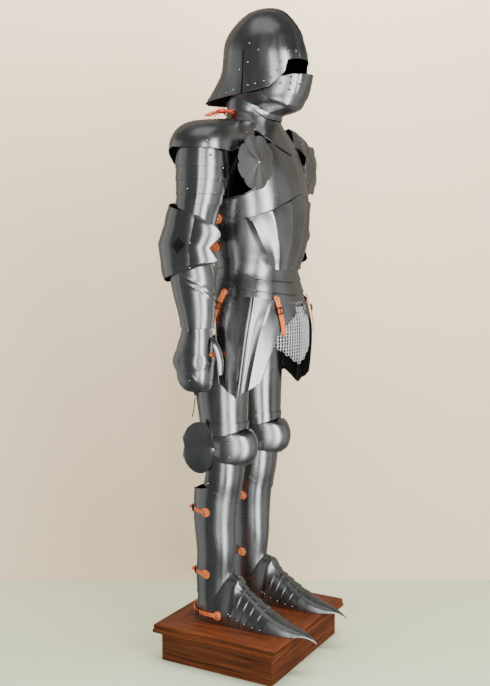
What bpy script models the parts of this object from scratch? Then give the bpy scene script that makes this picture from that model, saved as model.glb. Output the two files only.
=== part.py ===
# Suit of plate armour on a display stand, metres, +Z up, the figure faces -Y.
# The origin is the centre of the plinth's underside. The wearer's right is at -X.
# Every plate is a patch of a smooth hollow form, given its steel thickness inwards.
import bpy
import bmesh
import numpy as np
from math import copysign, cos, pi, radians, sin
from mathutils import Vector

# Driving dimensions
STEEL = 0.0016
LEATHER = 0.0028
MAIL = 0.0020
LAP = 0.0034
SEAM = 0.0003
LAME_STEP = 0.0026
FAULD_STEP = 0.0030
PLINTH_WIDTH = 0.493
PLINTH_DEPTH = 0.427
PLINTH_HEIGHT = 0.119
SLAB_THICKNESS = 0.029
SLAB_OVERHANG = 0.021
ARM_X = -0.270
LEG_X = -0.110
POST_RADIUS = 0.012
BESAGEW_RADIUS = 0.078
BESAGEW_PETALS = 8
CUFF_END = 1.048
CUFF_BACK = 1.0515
CUFF_TAB = 1.033
BEVOR_FOOT = 1.656
THUMB_X = -0.264
HIP_Z = 1.003
SPINE_TOP = 1.500
POST_Y = 0.055
SPINE_Y = 0.0821
SHOULDER_Z = 1.6272
SHOULDER_Y = 0.008
SHOULDER_REACH = 0.172
HEAD_Y = -0.047
HEAD_BALL = 0.050
HEAD_BALL_Z = 1.9335
SIDES = (("right", 1), ("left", -1))

# Forms: columns are z, centre x, centre y, half width, reach forward, reach back, roundness
HEAD = (
    (1.986, 0, -0.047, 0.000, 0.000, 0.000, 2.0),
    (1.9845, 0, -0.047, 0.016, 0.0185, 0.0185, 2.0),
    (1.9793, 0, -0.047, 0.035, 0.0405, 0.0405, 2.0),
    (1.968, 0, -0.047, 0.055, 0.064, 0.064, 2.0),
    (1.948, 0, -0.046, 0.075, 0.086, 0.086, 2.0),
    (1.925, 0, -0.045, 0.091, 0.106, 0.106, 2.0),
    (1.903, 0, -0.044, 0.100, 0.117, 0.117, 2.1),
    (1.880, 0, -0.043, 0.106, 0.124, 0.124, 2.1),
    (1.844, 0, -0.043, 0.109, 0.134, 0.127, 2.1),
    (1.800, 0, -0.043, 0.108, 0.138, 0.135, 2.1),
    (1.760, 0, -0.043, 0.108, 0.138, 0.162, 2.1),
    (1.715, 0, -0.043, 0.110, 0.138, 0.198, 2.1),
)
CHIN = (
    (1.790, 0, -0.043, 0.0925, 0.1590, 0.060, 2.0),
    (1.752, 0, -0.043, 0.0935, 0.1575, 0.060, 2.0),
    (1.722, 0, -0.043, 0.0941, 0.1490, 0.060, 2.0),
    (1.699, 0, -0.040, 0.0938, 0.1340, 0.060, 2.0),
    (1.689, 0, -0.030, 0.0936, 0.1180, 0.060, 2.0),
    (1.682, 0, -0.015, 0.0936, 0.1010, 0.060, 2.0),
    (1.674, 0, 0.000, 0.0936, 0.0925, 0.060, 2.0),
    (1.654, 0, 0.000, 0.0936, 0.0955, 0.060, 2.0),
)
TORSO = (
    (1.740, 0, 0, 0.0905, 0.0840, 0.071, 2.0),
    (1.700, 0, 0, 0.0915, 0.0845, 0.071, 2.0),
    (1.672, 0, 0, 0.0920, 0.0855, 0.072, 2.0),
    (1.640, 0, 0, 0.1080, 0.0910, 0.080, 2.1),
    (1.600, 0, 0, 0.1500, 0.110, 0.100, 2.2),
    (1.550, 0, 0, 0.1800, 0.133, 0.122, 2.2),
    (1.500, 0, 0, 0.1860, 0.151, 0.130, 2.2),
    (1.440, 0, 0, 0.1840, 0.166, 0.130, 2.2),
    (1.385, 0, 0, 0.1780, 0.170, 0.125, 2.2),
    (1.300, 0, 0, 0.1640, 0.163, 0.110, 2.2),
    (1.250, 0, 0, 0.1530, 0.149, 0.100, 2.2),
    (1.210, 0, 0, 0.1500, 0.138, 0.102, 2.2),
    (1.160, 0, 0, 0.1680, 0.152, 0.128, 2.2),
    (1.100, 0, 0, 0.1880, 0.169, 0.152, 2.2),
    (1.040, 0, 0, 0.1980, 0.178, 0.162, 2.2),
    (0.940, 0, 0, 0.2060, 0.180, 0.170, 2.2),
    (0.830, 0, 0, 0.2100, 0.178, 0.174, 2.2),
)
ARM = (
    (1.570, ARM_X, 0.008, 0.0730, 0.0730, 0.0730, 2.0),
    (1.530, ARM_X, 0.010, 0.0750, 0.0750, 0.0750, 2.0),
    (1.470, ARM_X, 0.012, 0.0740, 0.0740, 0.0740, 2.0),
    (1.425, ARM_X, 0.018, 0.0680, 0.0680, 0.0680, 2.0),
    (1.380, ARM_X, 0.028, 0.0640, 0.0640, 0.0640, 2.0),
    (1.340, ARM_X, 0.036, 0.0615, 0.0615, 0.0615, 2.0),
    (1.300, ARM_X, 0.045, 0.0600, 0.0600, 0.0600, 2.0),
    (1.270, ARM_X, 0.048, 0.0605, 0.0605, 0.0605, 2.0),
    (1.230, ARM_X, 0.049, 0.0618, 0.0618, 0.0618, 2.0),
    (1.190, ARM_X, 0.049, 0.0615, 0.0615, 0.0615, 2.0),
    (1.140, ARM_X, 0.044, 0.0560, 0.0560, 0.0560, 2.0),
    (1.090, ARM_X, 0.036, 0.0500, 0.0500, 0.0500, 2.0),
    (1.054, ARM_X, 0.031, 0.0478, 0.0478, 0.0478, 2.0),
    (1.030, ARM_X, 0.031, 0.0478, 0.0478, 0.0478, 2.0),
)
HAND = (
    (1.056, ARM_X, 0.031, 0.0436, 0.0436, 0.0436, 2.0),
    (1.042, ARM_X, 0.031, 0.0446, 0.0446, 0.0446, 2.0),
    (1.025, ARM_X, 0.032, 0.0460, 0.0470, 0.0470, 2.1),
    (0.990, ARM_X - 0.002, 0.036, 0.0500, 0.0530, 0.0530, 2.2),
    (0.955, ARM_X - 0.004, 0.038, 0.0510, 0.0570, 0.0560, 2.3),
    (0.925, ARM_X - 0.004, 0.036, 0.0500, 0.0560, 0.0540, 2.3),
    (0.895, ARM_X - 0.003, 0.034, 0.0450, 0.0500, 0.0500, 2.3),
    (0.872, ARM_X - 0.001, 0.032, 0.0370, 0.0400, 0.0400, 2.2),
    (0.862, ARM_X, 0.031, 0.0250, 0.0280, 0.0280, 2.2),
)
LEG = (
    (0.990, LEG_X, 0.046, 0.0780, 0.0880, 0.0880, 2.0),
    (0.920, LEG_X, 0.044, 0.0790, 0.0870, 0.0870, 2.0),
    (0.830, LEG_X, 0.042, 0.0760, 0.0820, 0.0820, 2.0),
    (0.750, LEG_X, 0.038, 0.0700, 0.0760, 0.0740, 2.0),
    (0.690, LEG_X, 0.038, 0.0660, 0.0720, 0.0700, 2.0),
    (0.620, LEG_X, 0.042, 0.0650, 0.0690, 0.0720, 2.0),
    (0.560, LEG_X, 0.049, 0.0643, 0.0683, 0.0830, 2.0),
    (0.520, LEG_X, 0.056, 0.0633, 0.0673, 0.0800, 2.0),
    (0.490, LEG_X, 0.060, 0.0628, 0.0668, 0.0770, 2.0),
    (0.430, LEG_X, 0.065, 0.0600, 0.0665, 0.0715, 2.0),
    (0.340, LEG_X, 0.064, 0.0540, 0.0630, 0.0640, 2.0),
    (0.260, LEG_X, 0.071, 0.0490, 0.0620, 0.0600, 2.0),
    (0.200, LEG_X, 0.073, 0.0470, 0.0600, 0.0550, 2.0),
    (0.145, LEG_X, 0.075, 0.0480, 0.0600, 0.0530, 2.0),
)
KNEE = (
    (0.740, LEG_X, 0.038, 0.0707, 0.0790, 0.0750, 2.0),
    (0.729, LEG_X, 0.038, 0.0707, 0.0840, 0.0750, 2.0),
    (0.713, LEG_X, 0.038, 0.0710, 0.1045, 0.0740, 2.0),
    (0.678, LEG_X, 0.038, 0.0745, 0.1155, 0.0720, 2.0),
    (0.640, LEG_X, 0.038, 0.0724, 0.1065, 0.0700, 2.0),
    (0.618, LEG_X, 0.039, 0.0700, 0.0840, 0.0680, 2.0),
)
SHIN = (
    (0.640, LEG_X, 0.039, 0.0700, 0.0700, 0.0660, 2.0),
    (0.600, LEG_X, 0.044, 0.0682, 0.0711, 0.0680, 2.0),
    (0.560, LEG_X, 0.049, 0.0668, 0.0713, 0.0830, 2.0),
    (0.520, LEG_X, 0.056, 0.0658, 0.0703, 0.0800, 2.0),
    (0.485, LEG_X, 0.060, 0.0652, 0.0696, 0.0770, 2.0),
)

# Edges: columns are degrees from the front, height
SALLET_RIM = ((0, 1.828), (21, 1.826), (35, 1.820), (40, 1.787), (52, 1.761), (63, 1.743),
              (78, 1.736), (92, 1.729), (120, 1.722), (150, 1.718), (180, 1.719))
BEVOR_LIFT = ((0, 0.0), (30, 0.002), (60, 0.030), (92, 0.062))
BEVOR_TOP = ((0, 1.784), (40, 1.779), (60, 1.770), (92, 1.762))
GORGET_TOP = ((0, 1.684), (40, 1.694), (70, 1.722), (95, 1.732), (120, 1.712), (180, 1.700))
GORGET_FOOT = ((0, 1.552), (20, 1.580), (33, 1.598), (58, 1.634), (85, 1.656), (120, 1.650), (180, 1.600))
BREAST_TOP = ((0, 1.600), (20, 1.592), (33, 1.578), (37, 1.562), (40, 1.522), (45, 1.482),
              (56, 1.451), (69, 1.431), (90, 1.417))
PLACKART_TOP = ((0, 1.438), (19, 1.413), (42, 1.384), (64, 1.364), (90, 1.364))
PLACKART_FOOT = ((0, 1.208), (25, 1.211), (63, 1.229), (90, 1.248))
BACK_TOP = ((90, 1.417), (104, 1.428), (118, 1.450), (130, 1.490), (137, 1.545), (143, 1.580),
            (155, 1.598), (180, 1.604))
BACK_FOOT = ((90, 1.248), (180, 1.232))
FAULD_EDGES = (
    ((0, 1.228), (25, 1.231), (63, 1.249), (90, 1.266)),
    ((0, 1.172), (54, 1.186), (90, 1.220)),
    ((0, 1.134), (54, 1.151), (90, 1.166)),
    ((0, 1.098), (30, 1.112), (50, 1.125), (90, 1.128)),
)
CULET_TOP = ((90, 1.266), (180, 1.250))
CULET_FOOT = ((90, 1.128), (140, 1.090), (180, 1.070))
TASSET_FOOT = ((7, 1.085), (20, 1.056), (33, 1.019), (43, 0.944), (50, 0.882), (60, 0.864),
               (67, 0.853), (72, 0.838), (79, 0.853), (86, 0.868))
PAULDRON_EDGE = ((-124, 1.606), (-110, 1.592), (-96, 1.566), (-82, 1.545), (-60, 1.549), (-30, 1.552),
                 (0, 1.555), (30, 1.559), (55, 1.551), (75, 1.533), (92, 1.508), (106, 1.524),
                 (120, 1.550))
ARM_LAMES = (1.562, 1.503, 1.467, 1.426, 1.398)
POLEYN_TOP = ((0, 0.731), (45, 0.722), (105, 0.706))
POLEYN_FOOT = ((0, 0.619), (45, 0.628), (105, 0.642))
SHIN_FOOT = ((0, 0.494), (35, 0.508), (60, 0.530), (105, 0.560))
GREAVE_TOP = ((0, 0.550), (70, 0.550), (90, 0.552), (110, 0.545), (180, 0.532))
GREAVE_FOOT = ((0, 0.278), (30, 0.256), (60, 0.209), (75, 0.192), (105, 0.188), (135, 0.201), (180, 0.212))

# Columns of a fluted plate: degrees at its top, degrees at its foot, how far the flute stands out
PLACKART_FLUTES = (
    (0, 0, 0.0030), (10, 5, 0), (19, 12, 0.0032), (31, 17, 0), (42, 21, 0.0034),
    (53, 25, 0), (64, 30, 0.0030), (68, 41, 0), (73, 53, 0), (78, 65, 0), (83, 76, 0), (87.4, 87.4, 0),
)
TASSET_FLUTES = (
    (86, 86, 0), (80, 77, 0.0024), (69, 74, 0), (61, 72, 0.0040), (59, 70.5, 0.0018),
    (57, 69, 0.0040), (47, 66, 0), (34, 61, 0.0030), (24, 50, 0), (16, 33, 0), (7, 7, 0),
)
TASSET_STRAPS = (
    # place, degrees at its top and foot, then rows of height and how far out
    ("outer", -92, -95, ((1.156, -0.0049), (1.128, -0.0045), (1.087, -0.0046), (1.046, -0.0050))),
    ("inner", -32, -27, ((1.136, -0.0002), (1.124, 0.0036), (1.100, 0.0054), (1.058, 0.0062),
                         (1.016, 0.0062))),
)
COUTER_LEVELS = (
    # front height, back height, first degrees, then how far out at the front, side and back
    (1.366, 1.406, -50, -0.0004, -0.0006, 0.0270),
    (1.309, 1.352, -10, 0.0450, 0.0110, 0.0340),
    (1.277, 1.293, -34, 0.0180, 0.0150, 0.0475),
    (1.243, 1.236, -12, 0.0380, 0.0110, 0.0340),
    (1.222, 1.178, -42, 0.0018, 0.0018, 0.0250),
)
THUMB = (
    # z, y, half width, how far its sides curl back
    (1.022, -0.0202, 0.0110, 0.0040),
    (0.996, -0.0400, 0.0150, 0.0090),
    (0.955, -0.0530, 0.0150, 0.0100),
    (0.915, -0.0510, 0.0090, 0.0060),
)
WING = (
    # the knee wing: x, y, top, foot
    (-0.1822, 0.031, 0.708, 0.640),
    (-0.1875, 0.043, 0.742, 0.614),
    (-0.1930, 0.061, 0.756, 0.600),
    (-0.1970, 0.087, 0.753, 0.602),
    (-0.2000, 0.111, 0.736, 0.620),
    (-0.2015, 0.128, 0.706, 0.648),
)
FOOT = (
    # minus y, half width, top, underside, roundness of the arch
    (0.005, 0.0460, 0.300, PLINTH_HEIGHT + 2 * SEAM, 2.3),
    (0.039, 0.0470, 0.242, PLINTH_HEIGHT + 2 * SEAM, 2.2),
    (0.082, 0.0490, 0.210, PLINTH_HEIGHT + 2 * SEAM, 2.1),
    (0.127, 0.0480, 0.182, PLINTH_HEIGHT + 2 * SEAM, 2.0),
    (0.174, 0.0400, 0.158, PLINTH_HEIGHT + 3 * SEAM, 1.9),
    (0.212, 0.0280, 0.144, PLINTH_HEIGHT + 4 * SEAM, 1.8),
    (0.246, 0.0150, 0.133, 0.1225, 1.8),
    (0.272, 0.0060, 0.119, 0.1140, 2.0),
    (0.284, 0.0026, 0.109, 0.1060, 2.0),
)
SABATON_LINES = (0.004, 0.016, 0.037, 0.060, 0.087, 0.113)
LINE_LEAN = 0.030
ANKLE_TUCK = 0.008
ANKLE_GAP = 0.0030


def clear_scene():
    for old in list(bpy.data.objects):
        bpy.data.objects.remove(old, do_unlink=True)


def collection(name):
    group = bpy.data.collections.new(name)
    bpy.context.scene.collection.children.link(group)
    return group


def material(name, colour, roughness, metallic):
    made = bpy.data.materials.new(name)
    made.use_nodes = True
    shader = made.node_tree.nodes["Principled BSDF"]
    shader.inputs["Base Color"].default_value = (*colour, 1)
    shader.inputs["Roughness"].default_value = roughness
    shader.inputs["Metallic"].default_value = metallic
    return made


def along(table, value):
    """Read a two-column table at a value, on straight lines between its rows."""
    return float(np.interp(value, [row[0] for row in table], [row[1] for row in table]))


def from_front(degrees):
    """How far an angle lies from straight ahead, 0 to 180."""
    return abs((degrees + 180) % 360 - 180)


def blend_rows(rows, station):
    """Read a table at a fractional row number, on a smooth curve through its rows."""
    station = min(max(station, 0.0), len(rows) - 1.0)
    index = min(int(station), len(rows) - 2)
    t = station - index
    here, there = rows[index], rows[index + 1]
    before = rows[index - 1] if index else [2 * a - b for a, b in zip(here, there)]
    after = rows[index + 2] if index + 2 < len(rows) else [2 * b - a for a, b in zip(here, there)]
    return [
        a + 0.5 * t * ((b - o) + t * ((2 * o - 5 * a + 4 * b - p) + t * (3 * (a - b) + p - o)))
        for o, a, b, p in zip(before, here, there, after)
    ]


def station_at(rows, value):
    """The fractional row number where a falling first column reaches a value."""
    low, high = 0.0, len(rows) - 1.0
    for _ in range(40):
        middle = (low + high) / 2
        if blend_rows(rows, middle)[0] > value:
            low = middle
        else:
            high = middle
    return low


def on_form(rows, station, degrees, out=0.0):
    """A point of a form: 0 degrees is straight ahead, -90 the wearer's right."""
    z, x, y, half, front, back, roundness = blend_rows(rows, station)
    angle = radians(degrees)
    power = 2 / roundness
    reach = (front if cos(angle) > 0 else back) + out
    across = (half + out) * copysign(abs(sin(angle)) ** power, sin(angle))
    ahead = reach * copysign(abs(cos(angle)) ** power, cos(angle))
    return Vector((x + across, y - ahead, z))


def panel(rows, columns, top, foot, levels):
    """Points of a plate. A column is degrees, or top degrees, foot degrees and rise.
    A level is a share of the way down, or that share and how far out."""
    grid = []
    for level in levels:
        share, out = level if isinstance(level, tuple) else (level, 0.0)
        line = []
        for column in columns:
            start, end, rise = column if isinstance(column, tuple) else (column, column, 0.0)
            degrees = start + (end - start) * share
            high = station_at(rows, top(from_front(start)))
            low = station_at(rows, foot(from_front(end)))
            line.append(on_form(rows, high + (low - high) * share, degrees, out + rise))
        grid.append(line)
    return grid


def sheet(name, group, grid, thickness, look, closed=False, side=1, cut=()):
    """A plate: rows of points from its top down, made into one wall of even thickness."""
    mesh = bpy.data.meshes.new(name)
    work = bmesh.new()
    rows = [[work.verts.new((side * p[0], p[1], p[2])) for p in line] for line in grid]
    width = len(grid[0])
    for level, (upper, lower) in enumerate(zip(rows, rows[1:])):
        for i in range(width if closed else width - 1):
            if (level, i) in cut:
                continue
            j = (i + 1) % width
            corners = [upper[i], lower[i], lower[j], upper[j]]
            work.faces.new(corners if side > 0 else corners[::-1])
    bmesh.ops.remove_doubles(work, verts=work.verts, dist=1e-6)
    work.to_mesh(mesh)
    work.free()
    mesh.shade_smooth()
    mesh.set_sharp_from_angle(angle=radians(35))
    mesh.materials.append(look)
    made = bpy.data.objects.new(name, mesh)
    group.objects.link(made)
    wall = made.modifiers.new("wall", "SOLIDIFY")
    wall.thickness = thickness
    wall.offset = -1
    wall.use_even_offset = True
    return made


def both_ways(columns):
    """Columns given from the front to one side, repeated on the other side."""
    mirrored = []
    for column in reversed(columns):
        start, end, rise = column if isinstance(column, tuple) else (column, column, 0.0)
        if start > 0:
            mirrored.append((-start, -end, rise))
    return mirrored + [c if isinstance(c, tuple) else (c, c, 0.0) for c in columns]


def shares(count):
    return [i / count for i in range(count + 1)]


def solid_from(name, group, look, build):
    """An object whose mesh a function builds in a bmesh."""
    mesh = bpy.data.meshes.new(name)
    work = bmesh.new()
    build(work)
    work.to_mesh(mesh)
    work.free()
    mesh.materials.append(look)
    made = bpy.data.objects.new(name, mesh)
    group.objects.link(made)
    return made


def box(work, low, high):
    made = bmesh.ops.create_cube(work, size=1)["verts"]
    for vert in made:
        for axis in range(3):
            vert.co[axis] = low[axis] if vert.co[axis] < 0 else high[axis]


def make_helmet(group, steel):
    columns = both_ways([(0, 0, 0.0025), 12, 24, 35, 38, 45, 54, 64, 78, 94.2, 95.8, 108, 124, 142, 160])
    columns.append((180, 180, 0.0025))
    levels = [0.0, 0.10, 0.21, 0.33, 0.46, 0.61, 0.76, 0.88, 1.0]
    slit = [i for i, column in enumerate(columns) if column[0] in (-95.8, 94.2)]
    grid = panel(HEAD, columns, lambda d: HEAD[0][0], lambda d: along(SALLET_RIM, d), levels)
    sheet("sallet", group, grid, STEEL, steel, closed=True,
          cut=[(row, column) for row in (6, 7) for column in slit])
    columns = both_ways([0, 14, 28, 42, 56, 68, 80, 92])
    grid = panel(CHIN, columns, lambda d: along(BEVOR_TOP, d), lambda d: BEVOR_FOOT,
                 [0.0, 0.20, 0.36, 0.52, 0.67, 0.83, 1.0])
    for line in grid:
        for point, column in zip(line, columns):
            turn = from_front(column[0])
            top = along(BEVOR_TOP, turn)
            point.z = top - (top - point.z) * (1 - along(BEVOR_LIFT, turn) / (top - BEVOR_FOOT))
    sheet("bevor", group, grid, STEEL, steel)
    columns = both_ways([(0, 0, 0.0030), 10, 20, 33, 45, 60, 75, 90, 105, 122, 140, 160])
    columns.append((180, 180, 0.0))
    levels = [(0.0, 0.0), (0.25, 0.0), (0.5, 0.0008), (0.75, 0.0036), (1.0, 0.0028)]
    grid = panel(TORSO, columns, lambda d: along(GORGET_TOP, d), lambda d: along(GORGET_FOOT, d), levels)
    sheet("gorget", group, grid, STEEL, steel, closed=True)


def make_torso(group, steel):
    columns = both_ways([(0, 0, 0.0030), 10, 20, 33, 37, 40, 45, 56, 68, 78, 87.4])
    grid = panel(TORSO, columns, lambda d: along(BREAST_TOP, d), lambda d: 1.335, shares(5))
    sheet("breastplate", group, grid, STEEL, steel)
    levels = [(share, LAP) for share in shares(5)]
    grid = panel(TORSO, both_ways(PLACKART_FLUTES), lambda d: along(PLACKART_TOP, d),
                 lambda d: along(PLACKART_FOOT, d), levels)
    sheet("plackart", group, grid, STEEL, steel)
    columns = [87.6, 96, 107, 118, 130, 137, 143, 155, 168, 180]
    columns += [360 - d for d in reversed(columns[:-1])]
    grid = panel(TORSO, columns, lambda d: along(BACK_TOP, d), lambda d: along(BACK_FOOT, d), shares(5))
    sheet("backplate", group, grid, STEEL, steel)


def make_skirt(group, steel, leather, mail):
    columns = both_ways([0, 11, 22, 33, 44, 55, 66, 77, 87.4])
    for number, (high, low) in enumerate(zip(FAULD_EDGES, FAULD_EDGES[1:]), 1):
        out = -FAULD_STEP * (number - 1)
        tuck = 0.0 if number == 1 else 0.012
        grid = panel(TORSO, columns, lambda d: along(high, d) + tuck, lambda d: along(low, d),
                     [(share, out) for share in shares(3)])
        sheet(f"fauld_{number}", group, grid, STEEL, steel)
    columns = [87.6, 98, 109, 120, 132, 144, 156, 168, 180]
    columns += [360 - d for d in reversed(columns[:-1])]
    levels = [(share, -LAME_STEP * number) for share, number in
              ((0.0, 1), (0.18, 1), (0.36, 1), (0.39, 2), (0.62, 2), (0.65, 3), (1.0, 3))]
    grid = panel(TORSO, columns, lambda d: along(CULET_TOP, d), lambda d: along(CULET_FOOT, d), levels)
    sheet("culet", group, grid, STEEL, steel)
    for name, side in SIDES:
        columns = [(-top, -foot, rise) for top, foot, rise in TASSET_FLUTES]
        grid = panel(TORSO, columns, lambda d: along(FAULD_EDGES[3], d) + 0.008,
                     lambda d: along(TASSET_FOOT, d),
                     [(0.0, -0.0031), (0.17, -0.0015), 0.4, 0.6, 0.8, 1.0])
        sheet(f"tasset_{name}", group, grid, STEEL, steel, side=side)
        for place, start, end, rows in TASSET_STRAPS:
            grid = []
            for z, out in rows:
                middle = start + (end - start) * (rows[0][0] - z) / (rows[0][0] - rows[-1][0])
                grid.append([on_form(TORSO, station_at(TORSO, z), middle + turn, out)
                             for turn in (-2.4, 2.4)])
            sheet(f"tasset_strap_{place}_{name}", group, grid, LEATHER, leather, side=side)
    columns = both_ways([0, 8, 16, 24, 32, 40])
    grid = panel(TORSO, columns, lambda d: 1.122, lambda d: 0.925 + 0.0018 * d,
                 [(share, -0.0088 - 0.006 * share) for share in shares(3)])
    sheet("mail_skirt", group, grid, MAIL, mail)


def make_besagews(group, steel):
    """A dished disc with petals, hung before each armpit and turned outwards."""
    for name, side in SIDES:
        centre = Vector((-0.182, -0.1160, 1.520))
        turn = radians(12)
        across = Vector((cos(turn), -sin(turn), 0))
        face = Vector((-sin(turn), -cos(turn), 0))
        up = Vector((0, 0, 1))
        steps = BESAGEW_PETALS * 3
        grid = []
        for share in (0.0, 0.12, 0.45, 1.0):
            line = []
            for i in range(steps):
                angle = 2 * pi * i / steps
                petal = abs(cos(BESAGEW_PETALS * angle / 2))
                reach = BESAGEW_RADIUS * share * (0.93 + 0.07 * petal ** 0.5 if share == 1 else 1)
                dish = 0.013 * (1 - share) ** 1.2 - 0.0022 * petal * share * (1 - share) * 4
                point = centre + reach * (across * cos(angle) + up * sin(angle)) + face * dish
                line.append(point)
            grid.append(line)
        sheet(f"besagew_{name}", group, grid, STEEL, steel, closed=True, side=side)


def pauldron_grid():
    """Ribs fan out from the neck side over the shoulder to the lower edge."""
    turns = [-124, -110, -96, -82, -62, -41, -20, 0, 20, 40, 58, 75, 92, 106, 120]
    fullness = 2 / 2.15
    grid = []
    for share in (0.0, 0.2, 0.4, 0.6, 0.8, 1.0):
        swing = share * pi / 2
        line = []
        for turn in turns:
            angle = radians(turn)
            neck = Vector((-0.128, 0.008 + 0.056 * turn / 122, 1.642))
            reach = 0.0975 if turn < 0 else 0.102
            round_x = copysign(abs(cos(angle)) ** 0.9, cos(angle))
            round_y = copysign(abs(sin(angle)) ** 0.9, sin(angle))
            edge = Vector((-0.238 - 0.1088 * round_x, 0.017 + reach * round_y,
                           along(PAULDRON_EDGE, turn)))
            point = neck.lerp(edge, sin(swing) ** fullness)
            point.z = edge.z + (neck.z - edge.z) * cos(swing) ** fullness
            point.z += 0.005 * sin(pi * share)
            line.append(point)
        grid.append(line[::-1])
    return grid


def couter_grid():
    """Five folds of one plate, wrapped from its front wing round the elbow."""
    grid = []
    for front_z, back_z, first, front_out, side_out, back_out in COUTER_LEVELS:
        line = []
        for turn in (first, -56, -70, -82, -94, -106, -124, -142, -161, -180, -199, -216):
            share = min((first - turn) / (first + 180), 1)
            z = front_z + (back_z - front_z) * share
            out = along(((-first, front_out), (90, side_out), (180, back_out), (216, 0.016)), -turn)
            line.append(on_form(ARM, station_at(ARM, z), turn, out))
        grid.append(line[::-1])
    return grid


def ring_rows(rows, degrees, levels):
    """Full-width rows of points at heights, each with its own offset outwards."""
    return [[on_form(rows, station_at(rows, z), d, out) for d in degrees] for z, out in levels]


def make_arms(group, steel):
    ring = list(range(-190, 170, 24))
    cuff_ring = [-190, -166, -142, -120, -100, -90, -80, -60, -38] + list(range(-14, 155, 24))
    for name, side in SIDES:
        sheet(f"pauldron_{name}", group, pauldron_grid(), STEEL, steel, side=side)
        levels = []
        for number, (high, low) in enumerate(zip(ARM_LAMES, ARM_LAMES[1:])):
            levels.append((high - (LAME_STEP if number else 0), -LAME_STEP / 2 if number else -LAME_STEP))
            levels.append((low, LAME_STEP / 2))
        grid = ring_rows(ARM, ring, levels)
        sheet(f"arm_lames_{name}", group, grid, STEEL, steel, closed=True, side=side)
        grid = ring_rows(ARM, ring, [(z, -LAME_STEP) for z in (1.414, 1.374, 1.335)])
        sheet(f"rerebrace_{name}", group, grid, STEEL, steel, closed=True, side=side)
        sheet(f"couter_{name}", group, couter_grid(), STEEL, steel, side=side)
        grid = ring_rows(ARM, cuff_ring, [(z, 0) for z in (1.272, 1.230, 1.185, 1.130, 1.080)])
        cuff = {-90: CUFF_TAB, -190: CUFF_BACK, -166: CUFF_BACK, -142: CUFF_BACK, 154: CUFF_BACK}
        grid.append([on_form(ARM, station_at(ARM, cuff.get(d, CUFF_END)), d)
                     for d in cuff_ring])
        sheet(f"vambrace_{name}", group, grid, STEEL, steel, closed=True, side=side)


def make_gauntlets(group, steel):
    """The hand, knuckle, finger and thumb plates; the hand turns at the wrist rivets."""
    wrap = [-205, -180, -155, -130, -110, -98, -90, -82, -70, -50, -25, 0, 22]
    for name, side in SIDES:
        grid = ring_rows(HAND, wrap, [(z, 0) for z in (1.054, 1.041, 1.024, 0.992, 0.964)])
        sheet(f"hand_plate_{name}", group, grid, STEEL, steel, side=side)
        grid = []
        for z, sag, out in ((0.978, 0.0, 0.0023), (0.957, 0.006, 0.0048), (0.942, 0.016, 0.0021)):
            line = []
            for turn in wrap:
                dip = sag * (1 - ((turn + 90) / 115) ** 2)
                line.append(on_form(HAND, station_at(HAND, z - dip), turn, out))
            grid.append(line)
        sheet(f"knuckle_plate_{name}", group, grid, STEEL, steel, side=side)
        grid = ring_rows(HAND, wrap, [(z, 0) for z in (0.950, 0.912, 0.882, 0.864)])
        sheet(f"finger_plates_{name}", group, grid, STEEL, steel, side=side)
        grid = []
        for z, y, half, bulge in THUMB:
            grid.append([Vector((THUMB_X + half * turn, y + bulge * turn * turn, z))
                         for turn in (-1, -0.5, 0, 0.5, 1)])
        sheet(f"thumb_plate_{name}", group, grid, STEEL, steel, side=side)


def poleyn_grid():
    """A domed cap over the knee that runs on into a folded wing at its outer side."""
    turns = range(105, -76, -15)
    grid = []
    for share in (0.0, 0.17, 0.34, 0.5, 0.66, 0.83, 1.0):
        line = []
        for turn in turns:
            top = along(POLEYN_TOP, abs(turn))
            foot = along(POLEYN_FOOT, abs(turn))
            line.append(on_form(KNEE, station_at(KNEE, top + (foot - top) * share), turn))
        for x, y, top, foot in WING:
            z = top + (foot - top) * share
            fold = 0.004 * (1 - abs(2 * share - 1))
            line.append(Vector((x + fold, y, z)))
        grid.append(line)
    return [line[::-1] for line in grid]


def arch(reach, degrees, out=0.0):
    """A point of the foot, at a distance ahead of the ankle and an angle over the instep."""
    half, top, sole, roundness = blend_columns(FOOT, reach)
    power = 2 / roundness
    angle = radians(degrees)
    across = (half + out) * copysign(abs(sin(angle)) ** power, sin(angle))
    up = (top + out - sole) * abs(cos(angle)) ** power
    return Vector((LEG_X + across, -reach, sole + up))


def blend_columns(rows, value):
    """Read the other columns of a table whose first column rises, on a smooth curve."""
    low, high = 0.0, len(rows) - 1.0
    for _ in range(40):
        middle = (low + high) / 2
        if blend_rows(rows, middle)[0] < value:
            low = middle
        else:
            high = middle
    return blend_rows(rows, low)[1:]


def sabaton_line(line, degrees):
    """Lames lean forward over the instep, so each line runs further ahead at its top."""
    return line + LINE_LEAN * cos(radians(degrees)) ** 0.8


def sabaton_rear_grid():
    """The ankle and heel plate: a ring inside the greave, run down to the sole."""
    grid = [[], [], [], [], []]
    turns = list(range(-180, -74, 15)) + list(range(-60, 61, 12)) + list(range(75, 166, 15))
    for turn in turns:
        foot = along(GREAVE_FOOT, from_front(turn))
        inner, upper = (on_form(LEG, station_at(LEG, foot + rise), turn, -ANKLE_GAP)
                        for rise in (ANKLE_TUCK, -0.0015))
        if from_front(turn) <= 60:
            tilt = turn * 1.5
            line = sabaton_line(SABATON_LINES[0], tilt)
            near, lower = arch(line - 0.010, tilt), arch(line, tilt)
        else:
            angle = radians(turn)
            across = 0.0465 * copysign(abs(sin(angle)) ** 0.85, sin(angle))
            lower = Vector((LEG_X + across, 0.065 - 0.069 * cos(angle), PLINTH_HEIGHT + 2 * SEAM))
            near = upper.lerp(lower, 0.75)
        for line, point in zip(grid, (inner, upper, upper.lerp(near, 0.5), near, lower)):
            line.append(point)
    return grid


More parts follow.
